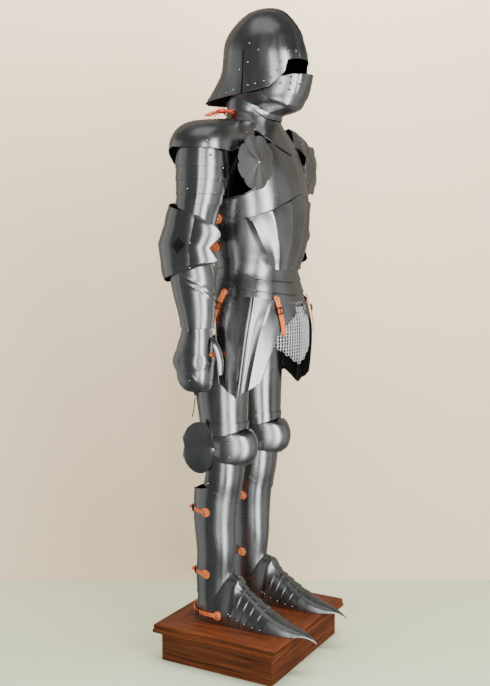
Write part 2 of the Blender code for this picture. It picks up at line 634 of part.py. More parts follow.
def make_legs(group, steel):
    ring = list(range(-180, 180, 15))
    front = list(range(-105, 106, 15))
    for name, side in SIDES:
        grid = ring_rows(LEG, ring, [(z, 0) for z in (0.985, 0.885, 0.785, 0.692)])
        sheet(f"cuisse_{name}", group, grid, STEEL, steel, closed=True, side=side)
        grid = ring_rows(LEG, front, [(0.752, 0.0026), (0.738, 0.0032), (0.714, 0.0033)])
        sheet(f"knee_lame_upper_{name}", group, grid, STEEL, steel, side=side)
        sheet(f"poleyn_{name}", group, poleyn_grid(), STEEL, steel, side=side)
        grid = panel(SHIN, front, lambda d: 0.640, lambda d: along(SHIN_FOOT, d), shares(3))
        sheet(f"knee_lame_lower_{name}", group, grid, STEEL, steel, side=side)
        columns = [-89.75] + list(range(-75, 76, 15)) + [89.75]
        grid = panel(LEG, columns, lambda d: along(GREAVE_TOP, d), lambda d: along(GREAVE_FOOT, d),
                     [0.0, 0.22, 0.44, 0.66, 0.86, 1.0])
        sheet(f"greave_front_{name}", group, grid, STEEL, steel, side=side)
        columns = [90.25] + list(range(105, 256, 15)) + [269.75]
        grid = panel(LEG, columns, lambda d: along(GREAVE_TOP, d), lambda d: along(GREAVE_FOOT, d),
                     [0.0, 0.22, 0.44, 0.66, 0.86, 1.0])
        sheet(f"greave_back_{name}", group, grid, STEEL, steel, side=side)
        sheet(f"sabaton_rear_{name}", group, sabaton_rear_grid(), STEEL, steel, closed=True, side=side)
        over = list(range(-90, 91, 18))
        grid = []
        for number, (start, end) in enumerate(zip(SABATON_LINES, SABATON_LINES[1:])):
            tuck = -0.006 if number == 0 else LAME_STEP * 0.8
            rows = [(start + tuck, -LAME_STEP), (end, 0)]
            if number == 0:
                rows.insert(1, (start + 0.001, -LAME_STEP))
            for line, out in rows:
                grid.append([arch(sabaton_line(line, turn), turn, out * (1 + 0.7 * cos(radians(turn))))
                             for turn in over])
        sheet(f"sabaton_lames_{name}", group, grid, STEEL, steel, side=side)
        grid = []
        start = SABATON_LINES[-1] + 0.0008
        for line in (start, 0.140, 0.172, 0.204, 0.232, 0.256, 0.2835):
            fade = max(0, 1 - (line - start) / 0.12)
            grid.append([arch(line + (sabaton_line(0, turn)) * fade, turn) for turn in over])
        sheet(f"toe_cap_{name}", group, grid, STEEL * 0.8, steel, side=side)


def rod(name, start, end, radius, look, group):
    """A round bar between two points, as a mesh."""
    span = Vector(end) - Vector(start)
    bpy.ops.mesh.primitive_cylinder_add(vertices=8, radius=radius, depth=span.length)
    made = bpy.context.object
    made.name = name
    made.data.materials.append(look)
    made.rotation_euler = span.to_track_quat("Z", "Y").to_euler()
    made.location = (Vector(start) + Vector(end)) / 2
    for holder in list(made.users_collection):
        holder.objects.unlink(made)
    group.objects.link(made)
    return made


def make_stand(group, guides, wood, iron):
    """The plinth, and the plain inner frame that the plates rest on."""
    half_w, half_d = PLINTH_WIDTH / 2, PLINTH_DEPTH / 2
    under = PLINTH_HEIGHT - SLAB_THICKNESS
    inset = SLAB_OVERHANG
    solid_from("plinth_box", group, wood, lambda work: box(
        work, (-half_w + inset, -half_d + inset, 0), (half_w - inset, half_d - inset, under - SEAM)))
    top = solid_from("plinth_top", group, wood, lambda work: box(
        work, (-half_w, -half_d, under), (half_w, half_d, PLINTH_HEIGHT)))
    edge = top.modifiers.new("moulding", "BEVEL")
    edge.width = 0.006
    edge.segments = 2
    base = PLINTH_HEIGHT + SEAM
    spine = rod("stand_frame", (0, SPINE_Y, HIP_Z), (0, SPINE_Y, SPINE_TOP), POST_RADIUS, iron, group)
    bars = [
        rod("leg_post_right", (LEG_X, POST_Y, base), (LEG_X, POST_Y, HIP_Z), POST_RADIUS, iron, guides),
        rod("leg_post_left", (-LEG_X, POST_Y, base), (-LEG_X, POST_Y, HIP_Z), POST_RADIUS, iron, guides),
        rod("hip_bar", (LEG_X - 0.02, POST_Y, HIP_Z), (-LEG_X + 0.02, POST_Y, HIP_Z),
            POST_RADIUS * 1.1, iron, guides),
        rod("hip_link", (0, POST_Y - 0.015, HIP_Z), (0, SPINE_Y + 0.005, HIP_Z),
            POST_RADIUS * 1.2, iron, guides),
        rod("upper_spine", (0, SPINE_Y, SPINE_TOP - 0.006), (0, SHOULDER_Y, SHOULDER_Z),
            POST_RADIUS * 0.95, iron, guides),
        rod("shoulder_bar", (-SHOULDER_REACH, SHOULDER_Y, SHOULDER_Z),
            (SHOULDER_REACH, SHOULDER_Y, SHOULDER_Z), POST_RADIUS, iron, guides),
        rod("neck_post", (0, SHOULDER_Y, SHOULDER_Z), (0, HEAD_Y, HEAD_BALL_Z), POST_RADIUS, iron, guides),
    ]
    bpy.ops.mesh.primitive_uv_sphere_add(segments=14, ring_count=8, radius=HEAD_BALL,
                                         location=(0, HEAD_Y, HEAD_BALL_Z))
    ball = bpy.context.object
    ball.name = "head_ball"
    for holder in list(ball.users_collection):
        holder.objects.unlink(ball)
    guides.objects.link(ball)
    for piece in bars + [ball]:
        join = spine.modifiers.new(piece.name, "BOOLEAN")
        join.operation = "UNION"
        join.object = piece
        piece.hide_render = True
        piece.display_type = "WIRE"


def main():
    clear_scene()
    group = collection("plate_armour_on_stand")
    guides = collection("stand_pieces_to_join")
    steel = material("brushed_steel", (0.30, 0.31, 0.31), 0.32, 1.0)
    leather = material("orange_leather", (0.72, 0.20, 0.07), 0.55, 0.0)
    mail = material("mail", (0.52, 0.56, 0.56), 0.35, 1.0)
    wood = material("mahogany", (0.16, 0.055, 0.03), 0.45, 0.0)
    iron = material("black_iron", (0.02, 0.02, 0.02), 0.6, 0.2)
    make_helmet(group, steel)
    make_torso(group, steel)
    make_skirt(group, steel, leather, mail)
    make_besagews(group, steel)
    make_arms(group, steel)
    make_gauntlets(group, steel)
    make_legs(group, steel)
    make_stand(group, guides, wood, iron)


main()
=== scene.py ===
# Suit of plate armour on a wooden plinth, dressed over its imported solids.
# Metres, +Z up, the figure faces -Y and its right side is at -X.
from math import copysign, cos, pi, radians, sin, sqrt

import bmesh
import bpy
import numpy as np
from mathutils import Matrix, Vector


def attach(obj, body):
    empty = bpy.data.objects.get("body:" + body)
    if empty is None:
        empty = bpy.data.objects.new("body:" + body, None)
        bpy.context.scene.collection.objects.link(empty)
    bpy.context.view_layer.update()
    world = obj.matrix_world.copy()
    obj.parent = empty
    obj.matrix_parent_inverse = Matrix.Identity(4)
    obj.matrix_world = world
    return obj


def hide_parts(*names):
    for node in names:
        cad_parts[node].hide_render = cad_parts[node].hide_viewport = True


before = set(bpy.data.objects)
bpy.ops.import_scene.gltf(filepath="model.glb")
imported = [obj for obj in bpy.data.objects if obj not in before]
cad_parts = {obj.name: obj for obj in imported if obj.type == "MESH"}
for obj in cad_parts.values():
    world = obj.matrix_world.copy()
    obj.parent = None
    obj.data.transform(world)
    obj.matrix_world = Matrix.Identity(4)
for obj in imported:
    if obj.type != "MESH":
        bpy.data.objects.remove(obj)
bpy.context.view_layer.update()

# Camera, floor and wall.
# The camera stands where the photograph was taken from. Two tall lamps near it draw the
# long highlights on the steel, and six others light its sides, the wall and the floor.
PHOTO_HEIGHT, FOCAL_PIXELS, SENSOR_HEIGHT = 686, 959.95, 36
CAMERA_TURN, CAMERA_TILT = radians(-60.65), radians(-5.73)

camera_data = bpy.data.cameras.new("camera")
camera_data.sensor_fit = "VERTICAL"
camera_data.sensor_height = SENSOR_HEIGHT
camera_data.lens = FOCAL_PIXELS / PHOTO_HEIGHT * SENSOR_HEIGHT
camera_data.shift_x = -1 / PHOTO_HEIGHT
camera_data.clip_end = 50
camera = bpy.data.objects.new("camera", camera_data)
camera.location = (-2.6077, -1.4464, 1.2806)
camera.rotation_euler = (pi / 2 + CAMERA_TILT, 0, CAMERA_TURN)
bpy.context.scene.collection.objects.link(camera)
bpy.context.scene.camera = camera


def flat_colour(name, colour, roughness=0.6, metallic=0.0):
    """A plain material, for the stage and as the start of the others."""
    made = bpy.data.materials.new(name)
    made.use_nodes = True
    shader = made.node_tree.nodes["Principled BSDF"]
    shader.inputs["Base Color"].default_value = (*colour, 1)
    shader.inputs["Roughness"].default_value = roughness
    shader.inputs["Metallic"].default_value = metallic
    return made


def stage_sheet(name, corners, colour):
    """A flat sheet of the room, seen from its front only and left out of reflections."""
    look = flat_colour(name, colour, 0.85)
    tree = look.node_tree
    clear = tree.nodes.new("ShaderNodeBsdfTransparent")
    choice = tree.nodes.new("ShaderNodeMixShader")
    behind = tree.nodes.new("ShaderNodeNewGeometry")
    tree.links.new(behind.outputs["Backfacing"], choice.inputs["Fac"])
    tree.links.new(tree.nodes["Principled BSDF"].outputs["BSDF"], choice.inputs[1])
    tree.links.new(clear.outputs["BSDF"], choice.inputs[2])
    tree.links.new(choice.outputs["Shader"], tree.nodes["Material Output"].inputs["Surface"])
    mesh = bpy.data.meshes.new(name)
    mesh.from_pydata(corners, [], [(0, 1, 2, 3)])
    mesh.materials.append(look)
    made = bpy.data.objects.new(name, mesh)
    made.visible_glossy = made.visible_shadow = False
    bpy.context.scene.collection.objects.link(made)


away = Vector((-sin(CAMERA_TURN), cos(CAMERA_TURN), 0))
beside = Vector((cos(CAMERA_TURN), sin(CAMERA_TURN), 0))
SQUARE = ((-1, -1), (1, -1), (1, 1), (-1, 1))
FLOOR_REACH, WALL_REACH, WALL_HEIGHT, WALL_BEHIND = 6, 3.2, 3.6, 0.61
stage_sheet("floor", [(FLOOR_REACH * x, FLOOR_REACH * y, 0) for x, y in SQUARE], (0.58, 0.67, 0.50))
wall = [away * WALL_BEHIND + beside * (WALL_REACH * x) + Vector((0, 0, WALL_HEIGHT if y > 0 else 0))
        for x, y in SQUARE]
stage_sheet("wall", wall, (0.95, 0.75, 0.55))


def lamp(name, across, toward, height, size, power, colour=(1, 1, 1), aim=Vector((0, 0, 1.05)), shine=True):
    """A rectangular lamp, placed by how far right of the view and how near the camera."""
    data = bpy.data.lights.new(name, "AREA")
    data.shape = "RECTANGLE"
    data.size, data.size_y = size
    data.energy = power
    data.color = colour
    made = bpy.data.objects.new(name, data)
    made.location = beside * across - away * toward + Vector((0, 0, height))
    made.rotation_euler = (aim - made.location).to_track_quat("-Z", "Y").to_euler()
    made.visible_glossy = shine
    made.visible_camera = False
    bpy.context.scene.collection.objects.link(made)


lamp("right_strip", 1.35, 1.95, 1.03, (0.85, 3.5), 70)
lamp("middle_strip", 0.05, 3.3, 1.03, (0.8, 3.5), 46)
lamp("left_fill", -2.5, -0.1, 0.9, (2.2, 3.6), 8)
lamp("right_fill", 2.6, 0.3, 0.9, (1.4, 3.6), 6)
lamp("top", -0.3, 0.7, 3.5, (1.8, 1.4), 4)
lamp("room_behind", 0.0, -0.58, 1.6, (6.0, 3.4), 14, (1.0, 0.80, 0.64), Vector((0, 0, 1.6)))
lamp("wall_wash", 0.0, 0.5, 3.4, (4.0, 0.6), 160, (1.0, 0.94, 0.86), Vector((0, 0, 0.9)) + away * 0.7, False)
lamp("floor_wash", 0.2, 0.6, 3.6, (1.6, 1.6), 30, (1, 1, 1), Vector((0, 0, 0)), False)
world = bpy.data.worlds.new("studio")
world.use_nodes = True
world.node_tree.nodes["Background"].inputs["Color"].default_value = (0.60, 0.65, 0.62, 1)
world.node_tree.nodes["Background"].inputs["Strength"].default_value = 0.20
bpy.context.scene.world = world

# Steel plate.
# The plates are mild steel, hammered, planished and brushed to a dark satin. Long faint
# streaks of the brush run down them, and the polish is a little uneven.


def surface_group(name, outputs):
    """An empty shader node group that reads Object coordinates."""
    group = bpy.data.node_groups.new(name, "ShaderNodeTree")
    for socket in outputs:
        kind = "NodeSocketColor" if socket == "Color" else "NodeSocketFloat"
        group.interface.new_socket(socket, in_out="OUTPUT", socket_type=kind)
    return group


def add_input(group, name, value):
    group.interface.new_socket(name, in_out="INPUT", socket_type="NodeSocketFloat").default_value = value


def link(tree, source, out, target, into):
    tree.links.new(source.outputs[out], target.inputs[into])


def noise(tree, scale, detail=3.0, stretch=(1, 1, 1)):
    """Noise over Object coordinates, drawn out along one axis by its stretch."""
    place = tree.nodes.new("ShaderNodeTexCoord")
    mapping = tree.nodes.new("ShaderNodeMapping")
    mapping.inputs["Scale"].default_value = stretch
    made = tree.nodes.new("ShaderNodeTexNoise")
    made.inputs["Scale"].default_value = scale
    made.inputs["Detail"].default_value = detail
    link(tree, place, "Object", mapping, "Vector")
    link(tree, mapping, "Vector", made, "Vector")
    return made


def spread(tree, source, low, high):
    """Map 0.3 to 0.7 of a noise on to a range."""
    made = tree.nodes.new("ShaderNodeMapRange")
    made.inputs["From Min"].default_value = 0.3
    made.inputs["From Max"].default_value = 0.7
    for key, value in (("To Min", low), ("To Max", high)):
        if isinstance(value, (int, float)):
            made.inputs[key].default_value = value
        else:
            tree.links.new(value, made.inputs[key])
    link(tree, source, "Fac", made, "Value")
    return made


brushed = surface_group("brushed_surface", ("Color", "Roughness", "Height"))
for socket, value in (("Dark", 0.30), ("Light", 0.36), ("Smooth", 0.24), ("Rough", 0.36)):
    add_input(brushed, socket, value)
given = brushed.nodes.new("NodeGroupInput")
result = brushed.nodes.new("NodeGroupOutput")
clouds = noise(brushed, 9, 4)
streaks = noise(brushed, 60, 3, (1, 1, 0.06))
shade = spread(brushed, clouds, given.outputs["Dark"], given.outputs["Light"])
tint = brushed.nodes.new("ShaderNodeCombineColor")
for channel, factor in (("Red", 0.985), ("Green", 1.0), ("Blue", 1.005)):
    share = brushed.nodes.new("ShaderNodeMath")
    share.operation = "MULTIPLY"
    share.inputs[1].default_value = factor
    link(brushed, shade, "Result", share, 0)
    link(brushed, share, "Value", tint, channel)
link(brushed, tint, "Color", result, "Color")
mix = brushed.nodes.new("ShaderNodeMath")
mix.operation = "ADD"
polish = spread(brushed, clouds, given.outputs["Smooth"], given.outputs["Rough"])
grain = spread(brushed, streaks, -0.045, 0.045)
link(brushed, polish, "Result", mix, 0)
link(brushed, grain, "Result", mix, 1)
link(brushed, mix, "Value", result, "Roughness")
link(brushed, streaks, "Fac", result, "Height")


def raised(tree, source, out, strength, depth):
    """Let a noise or a height lift the surface a little."""
    relief = tree.nodes.new("ShaderNodeBump")
    relief.inputs["Strength"].default_value = strength
    relief.inputs["Distance"].default_value = depth
    link(tree, source, out, relief, "Height")
    link(tree, relief, "Normal", tree.nodes["Principled BSDF"], "Normal")


def steel_look(name, dark, light, smooth, rough, bump=0.06):
    """Brushed steel between two greys and two roughnesses."""
    made = flat_colour(name, (light, light, light), rough, 1.0)
    tree = made.node_tree
    shader = tree.nodes["Principled BSDF"]
    surface = tree.nodes.new("ShaderNodeGroup")
    surface.node_tree = brushed
    for key, value in (("Dark", dark), ("Light", light), ("Smooth", smooth), ("Rough", rough)):
        surface.inputs[key].default_value = value
    link(tree, surface, "Color", shader, "Base Color")
    link(tree, surface, "Roughness", shader, "Roughness")
    raised(tree, surface, "Height", bump, 0.0004)
    return made


steel = steel_look("satin_steel", 0.30, 0.37, 0.23, 0.32)
# Near-black steel for the inner faces: the blackened inside that armour plates often have, and painted shade
# that keeps the hollows inside the suit dark.
black_inside_and_shade = steel_look("blackened_inside_and_painted_shade", 0.03, 0.05, 0.45, 0.60)

# Forms of the figure.
# Each plate is a patch of a smooth hollow form, as a smith shapes it over a stake.
# Columns: z, centre x, centre y, half width, reach forward, reach back, roundness.
SUIT = "suit_and_stand"
STEEL = 0.0016
BEAD = ((0.0, 0.0), (0.25, 0.66), (0.6, 0.92), (1.0, 1.0), (1.4, 0.92), (1.75, 0.66), (2.0, 0.0))


def along(table, value):
    """Read a two-column table at a value, on straight lines between its rows."""
    return float(np.interp(value, [row[0] for row in table], [row[1] for row in table]))


def from_front(degrees):
    """How far round from straight ahead, either way."""
    return abs((degrees + 180) % 360 - 180)


def eased(value, power):
    """A sine or cosine bent so that a ring grows squarer or flatter."""
    return copysign(abs(value) ** power, value)


def smooth_rows(rows, parts=24):
    """A table's rows with more put between them, on a smooth curve."""
    made = []
    for i in range(len(rows) - 1):
        a, b = np.array(rows[i]), np.array(rows[i + 1])
        o = np.array(rows[i - 1]) if i else 2 * a - b
        p = np.array(rows[i + 2]) if i + 2 < len(rows) else 2 * b - a
        for t in np.arange(parts) / parts:
            made.append(a + 0.5 * t * ((b - o) + t * ((2 * o - 5 * a + 4 * b - p)
                                                      + t * (3 * (a - b) + p - o))))
    return np.array(made + [np.array(rows[-1], dtype=float)])


def on_form(form, z, degrees, out=0.0):
    """A point at a height of a form: 0 degrees is straight ahead, -90 the wearer's right."""
    keys = -form[:, 0]
    x, y, half, front, back, roundness = (float(np.interp(-z, keys, form[:, k])) for k in range(1, 7))
    angle, power = radians(degrees), 2 / roundness
    reach = (front if cos(angle) > 0 else back) + out
    across = (half + out) * eased(sin(angle), power)
    ahead = reach * eased(cos(angle), power)
    return Vector((x + across, y - ahead, z))


def levels(count, top_bead=0.0, foot_bead=0.0):
    """Rows of a plate: share of the way down, step down in metres, and how far out."""
    rows = [(0.0, step * top_bead, rise * top_bead) for step, rise in BEAD] if top_bead else [(0.0, 0.0, 0.0)]
    rows += [(i / count, 0.0, 0.0) for i in range(1, count)]
    if foot_bead:
        rows += [(1.0, -step * foot_bead, rise * foot_bead) for step, rise in reversed(BEAD)]
    else:
        rows.append((1.0, 0.0, 0.0))
    return rows


def height_at(edge, degrees):
    """The height of a plate's edge, which is level or follows a table."""
    return edge if isinstance(edge, float) else along(edge, from_front(degrees))


def shell(form, columns, top, foot, rows, relief=None):
    """Points of a plate. A column is degrees, or top degrees, foot degrees, rise and bend."""
    keys = np.arange(len(form))
    grid = []
    ends = []
    for column in columns:
        start, end = (column[0], column[1]) if isinstance(column, tuple) else (column, column)
        heights = (height_at(top, start), height_at(foot, end))
        ends.append([np.interp(-height, -form[:, 0], keys) for height in heights])
    for share, step, out in rows:
        line = []
        for column, (high, low) in zip(columns, ends):
            start, end, rise, bend = column if isinstance(column, tuple) else (column, column, 0.0, 1.0)
            z = float(np.interp(high + (low - high) * share, keys, form[:, 0])) - step
            degrees = start + (end - start) * share ** bend
            extra = relief(degrees, z, share) if relief else 0.0
            line.append(on_form(form, z, degrees, out + rise + extra))
        grid.append(line)
    return grid


def edge_roll(table, width, height):
    """A turned edge, by the distance from an edge that may run steeply."""
    metres_a_degree = 0.0028
    turns = np.linspace(table[0][0], table[-1][0], 600)
    heights = np.array([along(table, d) for d in turns])

    def rise(degrees, z, share):
        apart = float(np.min(np.hypot((turns - from_front(degrees)) * metres_a_degree, heights - z)))
        return height * sqrt(max(0.0, 1 - (apart / width - 1) ** 2)) if apart < 2 * width else 0.0
    return rise


def evenly(first, last, step):
    """Numbers from first to last, about a step apart."""
    return list(np.linspace(first, last, max(2, round(abs(last - first) / step) + 1)))


def flutes(table, parts, sharp=1.7):
    """Put columns between those of a fluted plate, falling away hollow from each ridge."""
    made = []
    for here, there in zip(table, table[1:]):
        for k in range(parts):
            t = k / parts
            start, end, bend = (here[i] + (there[i] - here[i]) * t for i in (0, 1, 3))
            rise = here[2] * (1 - t) ** sharp + there[2] * t ** sharp
            made.append((start, end, rise, bend))
    return made + [table[-1]]


def mirrored(columns):
    """Columns given from the front to one side, repeated on the other side."""
    return [(-c[0], -c[1], c[2], c[3]) for c in reversed(columns) if c[0] > 0] + list(columns)


def ridge(distance, width, height):
    """A raised line with hollow sides."""
    return height * max(0.0, 1 - abs(distance) / width) ** 1.6


def plate(name, grid, body=SUIT, side=1, closed=False, wall=STEEL, cut=(), sharp=32, rim_in_painted_shade=0, added=False):
    """A sheet of points made into one plate of even wall. It stands for its solid, unless it is added."""
    mesh = bpy.data.meshes.new(name)
    work = bmesh.new()
    rows = [[work.verts.new((side * p[0], p[1], p[2])) for p in line] for line in grid]
    width = len(grid[0])
    for level, (upper, lower) in enumerate(zip(rows, rows[1:])):
        for i in range(width if closed else width - 1):
            if (level, i) in cut:
                continue
            j = (i + 1) % width
            corners = [upper[i], lower[i], lower[j], upper[j]]
            work.faces.new(corners if side > 0 else corners[::-1])
    bmesh.ops.remove_doubles(work, verts=work.verts, dist=1e-6)
    work.edges.index_update()
    border = [edge.index for edge in work.edges if edge.is_boundary]
    work.to_mesh(mesh)
    work.free()
    mesh.shade_smooth()
    mesh.set_sharp_from_angle(angle=radians(sharp))
    for index in border:
        mesh.edges[index].use_edge_sharp = True
    mesh.materials.append(steel)
    # The inner face takes the near-black second material: painted shade inside the plate over a blackened
    # lining.
    mesh.materials.append(black_inside_and_shade)
    made = bpy.data.objects.new(name, mesh)
    bpy.context.scene.collection.objects.link(made)
    thick = made.modifiers.new("wall", "SOLIDIFY")
    thick.thickness = wall
    thick.offset = -1
    thick.material_offset = 1
    # Where asked, the rim faces take the near-black inside material as well: painted shade along a cut edge.
    thick.material_offset_rim = rim_in_painted_shade
    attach(made, body)
    if not added:
        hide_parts(name)
    return made


# Rivets.
# Round-headed steel rivets hold the plates to their leathers. Each head is a low bright
# dome, set square to the plate, with painted shade round its edge where it meets the plate.


def geometry_tree(name, sockets):
    """A Geometry Nodes tree with named inputs, and its two end nodes."""
    tree = bpy.data.node_groups.new(name, "GeometryNodeTree")
    tree.interface.new_socket("Geometry", in_out="INPUT", socket_type="NodeSocketGeometry")
    for socket, kind in sockets:
        tree.interface.new_socket(socket, in_out="INPUT", socket_type=kind)
    tree.interface.new_socket("Geometry", in_out="OUTPUT", socket_type="NodeSocketGeometry")
    return tree, tree.nodes.new("NodeGroupInput"), tree.nodes.new("NodeGroupOutput")


COPY_INPUTS = (("Shape", "NodeSocketObject"), ("Size", "NodeSocketFloat"), ("Finish", "NodeSocketMaterial"))
scatter, scatter_in, scatter_out = geometry_tree("set_on_points", COPY_INPUTS)
to_points = scatter.nodes.new("GeometryNodeMeshToPoints")
shape_info = scatter.nodes.new("GeometryNodeObjectInfo")
upright = scatter.nodes.new("GeometryNodeInputNamedAttribute")
upright.data_type = "FLOAT_VECTOR"
upright.inputs["Name"].default_value = "upright"
along_it = scatter.nodes.new("GeometryNodeInputNamedAttribute")
along_it.data_type = "FLOAT_VECTOR"
along_it.inputs["Name"].default_value = "lengthwise"
lean = scatter.nodes.new("FunctionNodeAxesToRotation")
lean.primary_axis, lean.secondary_axis = "Z", "X"
copies = scatter.nodes.new("GeometryNodeInstanceOnPoints")
whole = scatter.nodes.new("GeometryNodeRealizeInstances")
finish = scatter.nodes.new("GeometryNodeSetMaterial")
link(scatter, scatter_in, "Geometry", to_points, "Mesh")
link(scatter, to_points, "Points", copies, "Points")
link(scatter, scatter_in, "Shape", shape_info, "Object")
link(scatter, shape_info, "Geometry", copies, "Instance")
link(scatter, upright, "Attribute", lean, "Primary Axis")
link(scatter, along_it, "Attribute", lean, "Secondary Axis")
link(scatter, lean, "Rotation", copies, "Rotation")
link(scatter, scatter_in, "Size", copies, "Scale")
link(scatter, copies, "Instances", whole, "Geometry")
link(scatter, whole, "Geometry", finish, "Geometry")
link(scatter, scatter_in, "Finish", finish, "Material")
link(scatter, finish, "Geometry", scatter_out, "Geometry")


def hidden_shape(name, profile, turns=12):
    """A small turned shape, one metre in size, that other pieces copy."""
    mesh = bpy.data.meshes.new(name)
    work = bmesh.new()
    rings = [[work.verts.new((r * cos(2 * pi * k / turns), r * sin(2 * pi * k / turns), z))
              for k in range(turns)] for r, z in profile]
    for lower, upper in zip(rings, rings[1:]):
        for k in range(turns):
            j = (k + 1) % turns
            work.faces.new((lower[k], lower[j], upper[j], upper[k]))
    work.faces.new(rings[-1])
    work.faces.new(rings[0][::-1])
    bmesh.ops.recalc_face_normals(work, faces=work.faces)
    work.to_mesh(mesh)
    work.free()
    rim = mesh.attributes.new("rim", "FLOAT", "POINT")
    rim.data.foreach_set("value", [1.0 if v.co.xy.length > 0.9 else 0.0 for v in mesh.vertices])
    mesh.shade_smooth()
    mesh.set_sharp_from_angle(angle=radians(50))
    return bpy.data.objects.new(name, mesh)


def set_copies(name, shape, places, size, look, body=SUIT):
    """Copies of a shape at places, each a point, the way it faces and the way it lies."""
    mesh = bpy.data.meshes.new(name)
    mesh.from_pydata([tuple(p) for p, _, _ in places], [], [])
    for key, index in (("upright", 1), ("lengthwise", 2)):
        values = mesh.attributes.new(key, "FLOAT_VECTOR", "POINT")
        values.data.foreach_set("vector", [c for place in places for c in place[index]])
    made = bpy.data.objects.new(name, mesh)
    bpy.context.scene.collection.objects.link(made)
    nodes = made.modifiers.new("copies", "NODES")
    nodes.node_group = scatter
    inputs = {"Shape": shape, "Size": size, "Finish": look}
    for item in scatter.interface.items_tree:
        if item.in_out == "INPUT" and item.name in inputs:
            nodes[item.identifier] = inputs[item.name]
    made.update_tag()
    graph = bpy.context.evaluated_depsgraph_get()
    whole_mesh = bpy.data.meshes.new_from_object(made.evaluated_get(graph))
    made.modifiers.remove(nodes)
    made.data = whole_mesh
    whole_mesh.name = name
    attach(made, body)
    return made


RIVET = hidden_shape("rivet_shape", (
    # radius and height, up one side of the head
    (1.25, -0.5), (1.25, 0.02), (1.0, 0.08), (0.86, 0.16), (0.78, 0.42), (0.55, 0.62), (0.25, 0.72)))
rivet_steel = steel_look("rivet_steel", 0.62, 0.74, 0.20, 0.28, 0.02)
tree = rivet_steel.node_tree
shader = tree.nodes["Principled BSDF"]
# Painted shade: the head's edge, where it meets the plate, is mixed to near black.
painted_edge_shade = tree.nodes.new("ShaderNodeMix")
painted_edge_shade.data_type = "RGBA"
painted_edge_shade.inputs["B"].default_value = (0.02, 0.02, 0.02, 1)
edge_of_head = tree.nodes.new("ShaderNodeAttribute")
edge_of_head.attribute_name = "rim"
polished = shader.inputs["Base Color"].links[0].from_socket
tree.links.new(edge_of_head.outputs["Fac"], painted_edge_shade.inputs["Factor"])
tree.links.new(polished, painted_edge_shade.inputs["A"])
tree.links.new(painted_edge_shade.outputs["Result"], shader.inputs["Base Color"])


def facing(form, z, degrees, out=0.0, side=1):
    """A point of a form with the way it faces and the way down it, for a rivet or strap."""
    here = on_form(form, z, degrees, out)
    below = on_form(form, z - 0.004, degrees, out) - here
    beyond = on_form(form, z, degrees + 1.5, out) - here
    normal = below.cross(beyond).normalized()
    flip = Vector((side, 1, 1))
    return here * flip, normal * flip, below.normalized() * flip


def rivets(name, form, spots, radius=0.0032, out=0.0):
    """Rivet heads at heights and degrees of a form, on both sides of the wearer."""
    places = [facing(form, z, degrees, out, side) for side in (1, -1) for z, degrees in spots]
    return set_copies(name, RIVET, places, radius, rivet_steel)


# Sallet.
# A one-piece helmet with a low comb, raised from one sheet of steel. A slit parts its
# tail from its cheek, and a row of lining rivets runs round above the rim.
HEAD = smooth_rows((
    (1.986, 0, -0.047, 0.000, 0.000, 0.000, 2.0),
    (1.9845, 0, -0.047, 0.016, 0.0185, 0.0185, 2.0),
    (1.9793, 0, -0.047, 0.035, 0.0405, 0.0405, 2.0),
    (1.968, 0, -0.047, 0.055, 0.064, 0.064, 2.0),
    (1.948, 0, -0.046, 0.075, 0.086, 0.086, 2.0),
    (1.925, 0, -0.045, 0.091, 0.106, 0.106, 2.0),
    (1.903, 0, -0.044, 0.100, 0.117, 0.117, 2.1),
    (1.880, 0, -0.043, 0.106, 0.124, 0.124, 2.1),
    (1.844, 0, -0.043, 0.109, 0.134, 0.127, 2.1),
    (1.800, 0, -0.043, 0.108, 0.138, 0.135, 2.1),
    (1.760, 0, -0.043, 0.108, 0.138, 0.162, 2.1),
    (1.715, 0, -0.043, 0.110, 0.138, 0.198, 2.1),
))
SALLET_RIM = ((0, 1.828), (21, 1.826), (35, 1.820), (37.5, 1.808), (40, 1.787), (52, 1.761), (63, 1.743),
              (78, 1.736), (92, 1.729), (120, 1.722), (150, 1.718), (180, 1.719))
SLIT, SLIT_HALF, SLIT_TOP = 95.0, 0.8, 1.855
HEAD_CENTRE = Vector((0, -0.043, 1.850))

quarter = evenly(0, 33, 1.5) + [35, 36.5, 38, 40, 43] + evenly(46, 92, 3)
quarter += [SLIT - SLIT_HALF, SLIT + SLIT_HALF] + evenly(98, 180, 4)
around = [-d for d in reversed(quarter[1:-1])] + quarter
rows = levels(26, 0.0, 0.0011)
grid = shell(HEAD, around, 1.986, SALLET_RIM, rows)
for line in grid:
    for point in line:
        outward = (point - HEAD_CENTRE).normalized()
        comb = ridge(point.x, 0.010, 0.0050) + ridge(abs(point.x) - 0.0165, 0.0040, 0.0024)
        point += outward * (comb + ridge(abs(point.x) - 0.027, 0.0040, 0.0018))
slit = [i for i, d in enumerate(around) if min(abs(d - SLIT + SLIT_HALF), abs(d + SLIT + SLIT_HALF)) < 0.01]
cut = [(level, i) for level in range(len(grid) - 1) for i in slit if grid[level][i].z < SLIT_TOP]
# The sallet's rim and the slit's cut edges are near black: painted shade that makes the slit read as a dark
# gap.
plate("sallet", grid, closed=True, cut=cut, rim_in_painted_shade=1)
RIM_RIVETS = (
    (1.843, -46), (1.813, -46), (1.789, -51), (1.769, -59), (1.760, -69), (1.754, -80), (1.751, -89),
    (1.846, -33), (1.849, -19), (1.870, -87), (1.849, -75), (1.816, -89), (1.798, -100),
    (1.742, -105), (1.736, -113), (1.730, -122), (1.730, -140), (1.731, -160))
rivets("sallet_rivets", HEAD, RIM_RIVETS, 0.0031)

